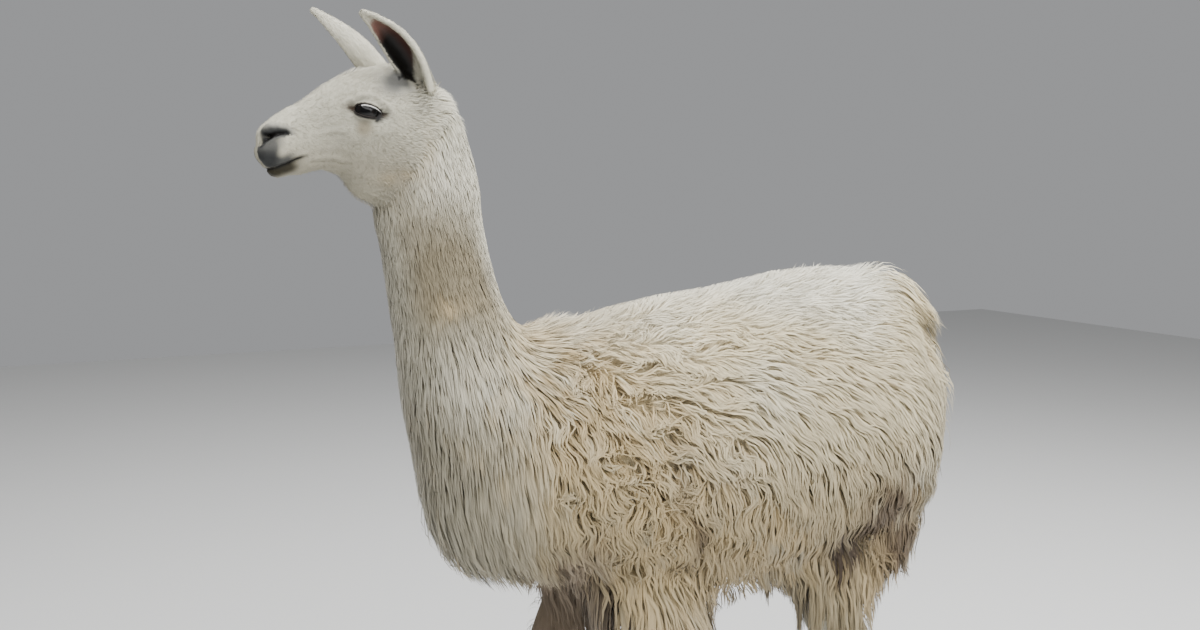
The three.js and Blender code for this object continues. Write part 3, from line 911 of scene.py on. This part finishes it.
class Coat:
    """What the coat is like at each point of the skin."""

    def __init__(self, body, depth, colour):
        at = regions_of(body)
        self.body, self.colour, self.loose = body, colour, at.loose
        self.cover, self.lie = cover_of(body, colour), flow_of(body)
        self.length, self.lift = lock_lengths(body, at), coat_heights(body, at, depth)
        thin = np.maximum(at.trunk * at.under, at.leg * at.inside * ramp(at.height, 0.46, 0.50))
        self.share = 1 - 0.7 * thin + 0.8 * spot(at.forward, at.height, 0.36, 1.08, 0.05, 0.04)
        stir = at.trunk * (0.30 + 0.85 * at.shoulder - 0.45 * at.chest + 0.15 * at.flank)
        tangle = spot(at.forward, at.height, -0.30, 0.73, 0.09, 0.09)
        self.stir = body.blurred(np.maximum(stir, 1.1 * tangle), 6)
        self.stir += 0.12 + 0.25 * at.leg * ramp(at.height, 0.45, 0.6)
        upper = 0.30 * ramp(at.height, 0.84, 1.00) * ramp(at.forward, 0.16, 0.02)
        elsewhere = 0.15 - 0.05 * body.share("head", "lower_jaw", "muzzle")
        clump = at.trunk * (0.62 - 0.42 * at.chest - upper) + elsewhere * (1 - at.trunk)
        self.clump = body.blurred(clump, 6)
        ends = np.maximum(ramp(at.forward, 0.30, 0.40), ramp(at.forward, -0.28, -0.40))
        hang = np.maximum(ramp(at.height, 0.86, 0.70), ends * ramp(at.height, 1.02, 0.84))
        hang *= np.maximum(at.trunk, at.leg)
        self.hold = 1 - 0.95 * body.blurred(np.maximum(hang, at.tail * 0.6), 6)
        weight = 0.10 + hang * 0.8 + 0.35 * at.rump * at.trunk + 0.4 * at.chest * at.trunk
        self.weight = body.blurred(weight + 0.5 * at.tail, 6)
        self.tree = BVHTree.FromPolygons(body.points.tolist(), body.triangles.tolist())

    def below(self, points):
        """The nearest places on the skin, the skin's normals there and its nearest corners."""
        hits = [self.tree.find_nearest(point) for point in points.tolist()]
        near = np.array([hit[0][:] for hit in hits])
        corners = self.body.triangles[[hit[2] for hit in hits]]
        gap = np.linalg.norm(self.body.points[corners] - near[:, None], axis=2)
        corner = corners[np.arange(len(corners)), gap.argmin(axis=1)]
        return near, self.body.normals[corner], corner


def roots_on(body, density, dice):
    """Places spread evenly over the skin, as many to the square metre as density says."""
    a, b, c = (body.points[body.triangles[:, k]] for k in range(3))
    area = np.linalg.norm(np.cross(b - a, c - a), axis=1) / 2
    total = np.cumsum(area * density[body.triangles].mean(axis=1))
    picks = np.arange(int(total[-1])) + dice.uniform(0, 1, int(total[-1]))
    triangle = np.minimum(np.searchsorted(total, picks), len(area) - 1)
    r, s = np.sqrt(dice.uniform(0, 1, len(triangle))), dice.uniform(0, 1, len(triangle))
    shares = np.stack([1 - r, r * (1 - s), r * s], axis=1)
    corners = body.triangles[triangle]
    points = (body.points[corners] * shares[:, :, None]).sum(axis=1)
    return points, corners[np.arange(len(corners)), shares.argmax(axis=1)]


def rise(t):
    """How far up its full height a lock is, t of the way along it."""
    return 1 - (1 - t) ** 2.6


def grown(coat, roots, corner, length, lift, rings, free=0.0):
    """The line of each lock from root to tip, and the skin's normal under each of its points.
    Locks whose share free is 1 stand out from the coat instead of lying in it."""
    free = np.broadcast_to(free, len(roots))
    hold = coat.hold[corner] * (1 - free)
    normal = coat.body.normals[corner]
    lines, normals = [roots - normal * 0.001], [normal]
    point = roots
    for k in range(1, rings + 1):
        t = k / rings
        turn = wander(point, 0.05, CURL_SEED) + 0.6 * wander(point, 0.018, CURL_SEED + 1)
        way = unit(coat.lie[corner] + coat.stir[corner, None] * turn * (0.35 + 0.65 * t))
        way += normal * (0.50 * free)[:, None]
        way[:, 2] -= coat.weight[corner] * t
        point = point + unit(way) * (length / rings)[:, None]
        near, normal, corner = coat.below(point)
        height = ((point - near) * normal).sum(axis=1)
        want = lift * rise(t)
        loose = np.minimum(height, lift + LOOSE_RISE)
        high = np.where(free > 0, loose, mix(height, want, hold))
        point = point + normal * (np.where(height < want, want, high) - height)[:, None]
        point[:, 2] = np.maximum(point[:, 2], OFF_FLOOR)
        lines.append(point)
        normals.append(normal)
    return np.stack(lines, axis=1), np.stack(normals, axis=1)


def gathered(lines, roots, guides, guide_roots, strength):
    """The locks drawn towards the nearest guide, most at their tips."""
    tree = KDTree(len(guide_roots))
    for k, root in enumerate(guide_roots.tolist()):
        tree.insert(root, k)
    tree.balance()
    nearest = [tree.find(root)[1] for root in roots.tolist()]
    pull = strength[:, None] * np.linspace(0, 1, lines.shape[1]) ** 1.2
    return lines + (guides[nearest] - lines) * pull[:, :, None]


SHAPE = (0.55, 0.95, 1.0, 0.85, 0.55)  # a lock's width from root to tip, as a share of its widest
RIDGE = 0.30  # the height of a lock's ridge, as a share of half its width


def lock_faces(rings):
    """The triangles of one lock, and for each 1, or -1 on the underside, whose shading is turned
    over."""
    faces = [(0, 2, 1)]
    last = 3 * rings - 3
    for k in range(0, last, 3):
        for i, j in ((0, 1), (1, 2), (2, 0)):
            faces += [(k + i, k + j, k + 3 + j), (k + i, k + 3 + j, k + 3 + i)]
    faces += [(last + i, last + (i + 1) % 3, last + 3) for i in range(3)]
    return np.array(faces), np.array([1] + [1, 1, 1, 1, -1, -1] * (rings - 1) + [1, 1, -1])


def lock_mesh(lines, normals, width, roll, softness):
    """Closed three-sided locks round the lines: points, triangles and a shading normal for each
    corner. Softness is how far a lock is shaded as the skin below it, not as its own faces."""
    count, stops = lines.shape[:2]
    rings = stops - 1
    along = unit(np.gradient(lines, axis=1))
    across = unit(np.cross(along, normals))
    above = unit(np.cross(across, along))
    c, s = np.cos(roll)[:, None, None], np.sin(roll)[:, None, None]
    across, above = (across * c + above * s)[:, :-1], (above * c - across * s)[:, :-1]
    shape = np.interp(np.linspace(0, 1, stops)[:-1], np.linspace(0, 0.85, len(SHAPE)), SHAPE)
    half = (width[:, None] * shape / 2)[:, :, None]
    middle, side = lines[:, :-1], across * half
    rows = np.stack([middle - side, middle + above * half * RIDGE, middle + side], axis=2)
    points = np.concatenate([rows.reshape(count, -1, 3), lines[:, -1:]], axis=1)
    own = unit(across[:, :, None] * np.array([-0.8, 0.0, 0.8])[:, None] + above[:, :, None])
    shading = unit(mix(own, normals[:, :-1, None], softness)).reshape(count, -1, 3)
    shading = np.concatenate([shading, normals[:, -1:]], axis=1).reshape(-1, 3)
    faces, turn = lock_faces(rings)
    faces = faces + (np.arange(count) * points.shape[1])[:, None, None]
    shading = shading[faces] * turn[:, None, None]
    return points.reshape(-1, 3), faces.reshape(-1, 3), shading.reshape(-1, 3)


UNWRAPS = {  # the two ends of the line that each part of the skin is unrolled round
    "trunk": [(place(0, -0.55, 0.92), place(0, 0.52, 0.92))],
    "neck": [(place(0, 0.42, 0.85), place(0, 0.56, 1.45))],
    "head": [(place(0, 0.50, 1.45), place(0, 0.82, 1.42))],
    "ears": [(place(s * 0.05, 0.54, 1.48), place(s * 0.10, 0.66, 1.64)) for s in (1, -1)],
    "legs": [
        (place(side, f, 0.75), place(side, f, 0.0)) for side in (0.12, -0.12) for f in (0.2, -0.33)
    ],
    "tail": [(place(0, -0.38, 1.15), place(0, -0.52, 0.85))],
}
PATCH = 0.003  # the size of a lock's own patch of the map


def unwrapped(group, points):
    """Each point's place, 0 to 1 both ways, when the skin is unrolled round its part's line."""
    lines = UNWRAPS[group]
    gaps = []
    for start, end in lines:
        axis = end - start
        t = np.clip((points - start) @ axis / (axis @ axis), 0, 1)
        gaps.append(np.linalg.norm(points - start - t[:, None] * axis, axis=1))
    column = np.argmin(gaps, axis=0)
    starts, ends = (np.array([line[k] for line in lines])[column] for k in (0, 1))
    axis = ends - starts
    t = ((points - starts) * axis).sum(axis=1) / (axis * axis).sum(axis=1)
    rel = points - starts - t[:, None] * axis
    first = unit(np.cross(axis, np.array([1.0, 0.3, 0.2])))
    second = unit(np.cross(axis, first))
    angle = np.arctan2((rel * first).sum(axis=1), (rel * second).sum(axis=1))
    u = (column + 0.02 + 0.96 * (angle / (2 * math.pi) + 0.5)) / len(lines)
    return np.stack([0.01 + 0.98 * u, 0.02 + 0.96 * np.clip(0.1 + 0.8 * t, 0, 1)], axis=1)


def give_uv(mesh, name, corner_uv):
    """A UV map from rows of u and v, one to each face corner."""
    layer = mesh.uv_layers.new(name=name)
    layer.data.foreach_set("uv", np.asarray(corner_uv, dtype=np.float32).ravel())


def give_colour(mesh, colour, along):
    """A colour for each point, with one more number as its alpha."""
    layer = mesh.color_attributes.new("markings_and_shade", "FLOAT_COLOR", "POINT")
    rgba = np.concatenate([colour, along[:, None]], axis=1)
    layer.data.foreach_set("color", rgba.astype(np.float32).ravel())


def give_values(mesh, name, values):
    """A number for each point."""
    layer = mesh.attributes.new(name, "FLOAT", "POINT")
    layer.data.foreach_set("value", values.astype(np.float32))


def shade_locks(mesh, per, shading):
    """Gives locks of so many points each their shading, with an edge between top and underside."""
    soft = mesh.attributes.new("custom_normal", "FLOAT_VECTOR", "CORNER")
    soft.data.foreach_set("vector", shading.astype(np.float32).ravel())
    ends = np.empty(len(mesh.edges) * 2, dtype=np.int32)
    mesh.edges.foreach_get("vertices", ends)
    ends = ends.reshape(-1, 2) % per
    tip = ends == per - 1
    left = (ends % 3 == 0).all(axis=1)  # the tip's number is divisible by 3 too
    right = ((ends % 3 == 2) | tip).all(axis=1)
    sharp = mesh.attributes.new("sharp_edge", "BOOLEAN", "EDGE")
    sharp.data.foreach_set("value", left | right)


def add_piece(obj, material, slot, *nodes):
    """Gives a piece its material and its body, and hides the CAD nodes that it stands for. The
    slot is not used.
    """
    obj.data.materials.append(MATERIALS[material])
    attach(obj, "root")
    if nodes:
        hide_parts(*nodes)


def coat_piece(name, group, lines, normals, width, colour, softness, dice):
    """One piece of the coat, with its maps and colours."""
    count, stops = lines.shape[:2]
    rings = stops - 1
    per = 3 * rings + 1
    points, faces, shading = lock_mesh(lines, normals, width, dice.normal(0, 0.2, count), softness)
    across = np.tile(np.append(np.tile([0.0, 0.5, 1.0], rings), 0.5), count)
    along = np.tile(np.append(np.repeat(np.linspace(0, 1, stops)[:-1], 3), 1.0), count)
    shade = np.repeat(colour * dice.normal(1.0, 0.05, count)[:, None], per, axis=0)
    shade = shade * mix(np.array(ROOT_TINT), 1.0, ramp(along, 0.0, 0.6)[:, None])
    obj = new_object(name, points, faces)
    shade_locks(obj.data, per, shading)
    give_colour(obj.data, shade, along)
    root = np.repeat(unwrapped(group, lines[:, 0]), per, axis=0)
    patch = root + np.stack([across - 0.5, along - 0.5], axis=1) * PATCH
    chance = np.repeat(dice.uniform(0, 50, count), per)
    size = np.linalg.norm(np.diff(lines, axis=1), axis=2).sum(axis=1)
    strand = [across * np.repeat(width, per) + chance, along * np.repeat(size, per)]
    give_uv(obj.data, "OFBake", patch[faces.ravel()])
    give_uv(obj.data, "strand", np.stack(strand, axis=1)[faces.ravel()])
    add_piece(obj, "coat", "wool")


# ---- Materials ----
class Paint:
    """A node material, built a node at a time."""

    def __init__(self, name, **sockets):
        self.material = bpy.data.materials.new(name)
        self.material.use_nodes = True
        self.tree = self.material.node_tree
        self.shader = self.tree.nodes["Principled BSDF"]
        self.give(**sockets)

    def join(self, value, socket):
        """Links a socket to another, or gives it a value."""
        if isinstance(value, bpy.types.NodeSocket):
            self.tree.links.new(value, socket)
        else:
            socket.default_value = value

    def give(self, **sockets):
        """Links or sets sockets of the shader."""
        for key, value in sockets.items():
            self.join(value, self.shader.inputs[key.replace("_", " ")])

    def node(self, kind, **values):
        """A node with its properties set and its sockets linked or set."""
        node = self.tree.nodes.new("ShaderNode" + kind)
        for key, value in values.items():
            if hasattr(node, key):
                setattr(node, key, value)
            else:
                self.join(value, node.inputs[key.replace("_", " ")])
        return node

    def attribute(self, name):
        """What the mesh's points carry under a name."""
        return self.node("Attribute", attribute_name=name).outputs

    def where(self):
        """Places in the object's own frame."""
        return self.node("TexCoord").outputs["Object"]

    def noise(self, vector, scale, detail=3.0):
        """A noise, most of it between 0.3 and 0.7."""
        node = self.node("TexNoise", Vector=vector, Scale=scale, Detail=detail, Roughness=0.6)
        return node.outputs[0]

    def stretched(self, vector, scale):
        """A noise that is stretched by scaling each axis of its vector."""
        return self.noise(self.node("Mapping", Vector=vector, Scale=scale).outputs["Vector"], 1.0)

    def ranged(self, value, low, high, to_low, to_high):
        """The value brought from one range into another."""
        limits = {"From_Min": low, "From_Max": high, "To_Min": to_low, "To_Max": to_high}
        return self.node("MapRange", Value=value, **limits).outputs["Result"]

    def times(self, colour, factor):
        """The colour multiplied by a number."""
        node = self.node("VectorMath", operation="SCALE", Vector=colour, Scale=factor)
        return node.outputs["Vector"]

    def product(self, a, b):
        """Two numbers multiplied."""
        node = self.node("Math", operation="MULTIPLY")
        self.join(a, node.inputs[0])
        self.join(b, node.inputs[1])
        return node.outputs["Value"]

    def bump(self, height, strength, distance):
        """Gives the shader the relief of a height."""
        node = self.node("Bump", Height=height, Strength=strength, Distance=distance)
        self.give(Normal=node.outputs["Normal"])


def coat_paint():
    """The coat's colours and painted shade, streaked along each lock, with painted light at its
    root that lifts the shade between the locks.
    """
    paint = Paint(
        "coat", Roughness=0.72, Specular_IOR_Level=0.25, Sheen_Weight=0.15, Sheen_Roughness=0.5
    )
    marks = paint.attribute("markings_and_shade")
    streak = paint.stretched(paint.node("UVMap", uv_map="strand").outputs["UV"], (900, 25, 1))
    colour = paint.times(marks["Color"], paint.ranged(streak, 0.3, 0.7, 0.80, 1.10))
    # painted light: up to a tenth lighter at the roots, to lift the shade between the locks
    colour = paint.times(colour, paint.ranged(marks["Alpha"], 0.0, 0.7, 1.10, 1.0))
    paint.give(Base_Color=colour)
    paint.bump(streak, 0.6, 0.0004)
    return paint.material


def skin_paint():
    """The skin's colours and painted shade under short fur, smoother where the skin is bare."""
    paint = Paint("skin", Specular_IOR_Level=0.15)
    marks = paint.attribute("markings_and_shade")
    fur = paint.stretched(paint.where(), (900, 500, 900))
    soft = paint.noise(paint.where(), 60.0)
    colour = paint.times(marks["Color"], paint.ranged(fur, 0.3, 0.7, 0.86, 1.06))
    colour = paint.times(colour, paint.ranged(soft, 0.3, 0.7, 0.95, 1.03))
    paint.give(Base_Color=colour, Roughness=paint.ranged(marks["Alpha"], 0, 1, 0.42, 0.80))
    paint.bump(paint.product(fur, paint.ranged(marks["Alpha"], 0, 1, 0.35, 1.0)), 0.7, 0.0008)
    return paint.material


def eye_paint():
    """A nearly black eye with a brown iris, shiny where it is wet."""
    paint = Paint("eye", Roughness=0.05, IOR=1.9, Coat_IOR=1.9)
    colour = paint.node(
        "MixRGB",
        Fac=paint.attribute("iris")["Fac"],
        Color1=(0.0010, 0.0010, 0.0012, 1),
        Color2=(0.0040, 0.0024, 0.0018, 1),
    )
    fibre = paint.ranged(paint.noise(paint.where(), 400.0, 4.0), 0.3, 0.7, 0.5, 1.4)
    wet = paint.attribute("wet")["Fac"]
    paint.give(
        Base_Color=paint.times(colour.outputs["Color"], fibre),
        Specular_IOR_Level=paint.ranged(wet, 0, 1, 0.12, 1.0),
        Coat_Weight=wet,
    )
    return paint.material


def grained_paint(name, colour):
    """The lids' rims and the lashes."""
    paint = Paint(name, Roughness=0.6, Specular_IOR_Level=0.15)
    grain = paint.noise(paint.where(), 900.0)
    paint.give(Base_Color=paint.times(colour, paint.ranged(grain, 0.3, 0.7, 0.7, 1.3)))
    paint.bump(grain, 0.4, 0.0003)
    return paint.material


def nail_paint():
    """Horn with fine level bands, and mud in places."""
    paint = Paint("nail", Roughness=0.45, Specular_IOR_Level=0.4)
    bands = paint.stretched(paint.where(), (60, 60, 700))
    mud = paint.ranged(paint.noise(paint.where(), 90.0, 4.0), 0.35, 0.65, 0.75, 1.2)
    shade = paint.product(paint.ranged(bands, 0.3, 0.7, 0.7, 1.25), mud)
    paint.give(Base_Color=paint.times((0.075, 0.058, 0.045), shade))
    paint.bump(bands, 0.5, 0.0006)
    return paint.material


MATERIALS = {
    "coat": coat_paint(),
    "skin": skin_paint(),
    "eye": eye_paint(),
    "lid": grained_paint("lid", (0.02, 0.016, 0.014)),
    "lash": grained_paint("lash", (0.72, 0.71, 0.68)),
    "nail": nail_paint(),
    "floor": Paint(
        "floor", Roughness=0.9, Specular_IOR_Level=0.1, Base_Color=(0.62, 0.62, 0.61, 1)
    ).material,
}

# ---- Making the pieces ----
# Name, unwrap, nodes, lowest and highest place, then locks to the square metre, rings, breadth
# and softness.
GROUPS = (
    ("back", "trunk", ("trunk",), (1.0, 9.0), 33000, 4, 1.0, 0.65),
    ("flanks", "trunk", ("trunk",), (0.0, 1.0), 26000, 5, 1.0, 0.65),
    ("neck_low", "neck", ("neck",), (0.0, 1.16), 32000, 4, 1.0, 0.65),
    ("neck_high", "neck", ("neck",), (1.16, 9.0), 90000, 3, 1.0, 0.6),
    ("head", "head", ("head", "lower_jaw", "muzzle"), (0.0, 9.0), 120000, 2, 1.0, 0.3),
    ("ears", "ears", ("ear",), (0.0, 9.0), 90000, 2, 1.0, 0.3),
    ("thighs", "legs", ("leg",), (0.46, 9.0), 22000, 5, 1.0, 0.65),
    ("shanks", "legs", ("leg", "foot"), (0.0, 0.46), 36000, 2, 2.0, 0.70),
    ("tail", "tail", ("tail",), (0.0, 9.0), 26000, 5, 1.0, 0.65),
)
THIN_SHARE, THIN_WIDTH = 0.3, 0.45  # how many locks are thin, and how thin beside the others
CLUMPS = ((8, 0.9), (70, 0.45))  # locks in a clump, and how strongly they are drawn together
LASHES, LASH_LENGTH, LASH_WIDTH = 56, 0.0088, 0.0009
LID_STOPS = 33  # points along the rim of a lid


def lock_width(length, dice):
    """Widths for locks of these lengths: most are broad and some are thin."""
    width = (0.0008 + 0.035 * length) * dice.uniform(0.6, 1.35, len(length))
    return np.where(dice.uniform(0, 1, len(length)) < THIN_SHARE, width * THIN_WIDTH, width)


def clumped(coat, lines, roots, corner, density, free, dice):
    """The locks drawn together into small clumps, and these into large ones."""
    rings = lines.shape[1] - 1
    for size, pull in CLUMPS:
        guide_roots, at = roots_on(coat.body, density / size, dice)
        lift = coat.lift[at] * dice.uniform(0.87, 1.0, len(at))
        guides, _ = grown(coat, guide_roots, at, coat.length[at], lift, rings)
        strength = pull * coat.clump[corner] * dice.uniform(0.5, 1.2, len(roots)) * (1 - free)
        lines = gathered(lines, roots, guides, guide_roots, strength)
    return lines


def dress(coat, name, group, nodes, span, density, rings, breadth, softness, seed):
    """Grows one part of the coat as pieces of less than LIMIT triangles."""
    body, dice = coat.body, np.random.default_rng(seed)
    height = body.points[:, 2]
    here = body.share(*nodes) * (height >= span[0]) * (height < span[1])
    density = here * coat.cover * coat.share * density
    roots, corner = roots_on(body, density, dice)
    length = coat.length[corner] * dice.uniform(0.75, 1.15, len(roots))
    uneven = mix(0.26, 0.14, ramp(height[corner], 0.85, 1.05))
    uneven = uneven * mix(1.0, 0.55, ramp(height[corner], 1.14, 1.28))
    lift = coat.lift[corner] * (1 - uneven * dice.uniform(0, 1, len(roots)) ** 2)
    free = (dice.uniform(0, 1, len(roots)) < coat.loose[corner]).astype(float)
    lines, normals = grown(coat, roots, corner, length, lift, rings, free)
    lines = clumped(coat, lines, roots, corner, density, free, dice)
    width = lock_width(length, dice) * breadth
    colour = markings_and_shade(lines[:, rings // 2 + 1]) if rings > 2 else coat.colour[corner]
    per_piece = LIMIT // (6 * rings - 2)
    order = dice.permutation(len(roots))
    for number, start in enumerate(range(0, len(roots), per_piece), 1):
        pick = order[start : start + per_piece]
        locks = lines[pick], normals[pick], width[pick], colour[pick]
        coat_piece("coat_%s_%d" % (name, number), group, *locks, softness, dice)


def eyeball(name, centre, out, up):
    """An eyeball with a slightly bulging front, with its iris and its wet part marked."""
    points, triangles = ball(1.0, 5)
    front = points @ out
    points = points * (1 + 0.06 * ramp(front, 0.80, 1.0))[:, None]
    obj = new_object(name, points * EYE_RADIUS + centre, triangles)
    give_values(obj.data, "iris", ramp(front, 0.72, 0.80) * ramp(front, 0.93, 0.89))
    give_values(obj.data, "wet", ramp(points @ up, 0.20, 0.32))
    return obj


def tube(name, path, radii, sides=8):
    """A closed tube along the points."""
    along = unit(np.gradient(path, axis=0))
    across = unit(np.cross(along, np.array([0.0, 0.0, 1.0])))
    above = np.cross(across, along)
    angle = (np.arange(sides) * 2 * math.pi / sides)[:, None]
    ring = across[:, None] * np.cos(angle) + above[:, None] * np.sin(angle)
    points = (path[:, None] + ring * np.asarray(radii)[:, None, None]).reshape(-1, 3)
    faces = []
    for k in range(len(path) - 1):
        for i in range(sides):
            j = (i + 1) % sides
            a, b = k * sides + i, k * sides + j
            faces += [(a, b, b + sides), (a, b + sides, a + sides)]
    for i in range(1, sides - 1):
        end = (len(path) - 1) * sides
        faces += [(0, i + 1, i), (end, end + i, end + i + 1)]
    return new_object(name, points, faces)


def make_claw(node):
    """A smooth claw in the place of a CAD node, lower and narrower towards its tip."""
    solid = welded(*arrays_of(NODES[node].data))
    points, triangles = arrays_of(remeshed(*solid, CLAW_VOXEL))
    points = relaxed(points, edges_of(triangles), np.full(len(points), 0.5), 6)
    points = points + normals_of(points, triangles) * SWELL_CLAW
    low, high = points.min(axis=0), points.max(axis=0)
    t = (high[1] - points[:, 1]) / (high[1] - low[1])
    middle = (low[0] + high[0]) / 2
    points[:, 0] = middle + (points[:, 0] - middle) * mix(1.08, 0.62, t**1.5)
    points[:, 2] = low[2] + (points[:, 2] - low[2]) * mix(1.0, 0.60, t**1.5)
    claw = new_object("claw" + node.removeprefix("toenail"), points, triangles)
    add_piece(claw, "nail", "nail", node)


def on_eye(side, x, y, above):
    """Places so far above an eyeball, from places in the flat of the lids' opening."""
    centre, out, length, up = eye_frame(side)
    x, y = x + OPENING[0], y + OPENING[1]
    z = np.sqrt(np.maximum((EYE_RADIUS + above) ** 2 - x**2 - y**2, 0.0))
    return centre + (x[:, None] * length + y[:, None] * up + z[:, None] * out)


def make_eye(side, label):
    """An eyeball and the rims of its lids."""
    centre, out, _, up = eye_frame(side)
    add_piece(eyeball("eyeball_" + label, centre, out, up), "eye", "eye", "eye_" + label)
    x = np.linspace(-EYE_HALF, EYE_HALF, LID_STOPS)
    radii = 0.0003 + 0.0011 * np.sin(np.linspace(0.15, math.pi - 0.15, LID_STOPS))
    for name, sign in (("upper", 1), ("lower", -1)):
        path = on_eye(side, x, sign * lid_height(x, sign > 0), 0.0008)
        add_piece(tube("lid_%s_%s" % (name, label), path, radii), "lid", "face")


def make_lashes(side, label):
    """Pale lashes that hang from the rear two thirds of the upper lid."""
    _, out, length, up = eye_frame(side)
    dice = np.random.default_rng(LASH_SEED)
    x = np.linspace(-0.90, 0.36, LASHES) * EYE_HALF
    roots = on_eye(side, x, lid_height(x, True) - 0.0006, 0.0010)
    fan = (x / EYE_HALF * 0.45 + dice.normal(0, 0.08, LASHES))[:, None] * length
    first = unit(out * 0.70 - up * 0.60 + fan)
    last = unit(out * 0.90 - up * 0.10 + fan)
    long = (LASH_LENGTH * dice.uniform(0.75, 1.1, LASHES))[:, None]
    steps = np.linspace(0, 1, 5)
    lines = [roots + long * (first * t + (last - first) * t * t * 0.5) for t in steps]
    lines = np.stack(lines, axis=1)
    widths, rolls = np.full(LASHES, LASH_WIDTH), np.zeros(LASHES)
    points, faces, _ = lock_mesh(lines, np.broadcast_to(up, lines.shape), widths, rolls, 0.0)
    add_piece(new_object("lashes_" + label, points, faces), "lash", "face")


def set_camera():
    """The photograph's view."""
    camera = linked("camera", bpy.data.cameras.new("camera"))
    camera.data.lens, camera.data.sensor_width = CAMERA_LENS, CAMERA_SENSOR
    camera.location = place(*CAMERA_AT)
    camera.rotation_euler = (math.radians(90 - CAMERA_DOWN), 0, math.radians(CAMERA_TURN))
    bpy.context.scene.camera = camera


def light(name, size, energy, location, aim):
    """A round lamp turned to its aim."""
    lamp = bpy.data.lights.new(name, "AREA")
    lamp.shape = "DISK"
    lamp.size, lamp.energy = size, energy
    obj = linked(name, lamp)
    obj.location = location
    obj.rotation_euler = (Vector(aim) - Vector(location)).to_track_quat("-Z", "Y").to_euler()


def set_stage():
    """A grey floor, an even sky and two lamps."""
    corners = np.array([(-1, -1, 0), (1, -1, 0), (1, 1, 0), (-1, 1, 0)]) * FLOOR_HALF
    floor = new_object("floor", corners, [(0, 1, 2, 3)])
    floor.data.materials.append(MATERIALS["floor"])
    world = bpy.data.worlds.new("studio")
    bpy.context.scene.world = world
    world.use_nodes = True
    sky = world.node_tree.nodes["Background"]
    sky.inputs["Color"].default_value = SKY_COLOUR
    sky.inputs["Strength"].default_value = SKY_STRENGTH
    for settings in LIGHTS:
        light(*settings)


coat = Coat(skin, depth, skin_colour)
skin_obj = new_object("skin", skin.points, skin.triangles)
give_colour(skin_obj.data, skin_colour, coat.cover)
add_piece(skin_obj, "skin", "wool", *FLESH)
for number, settings in enumerate(GROUPS):
    dress(coat, *settings, seed=COAT_SEED + number)
for side, label in ((1, "left"), (-1, "right")):
    make_eye(side, label)
    make_lashes(side, label)
for name in NODES:
    if name.startswith("toenail"):
        make_claw(name)
set_camera()
set_stage()
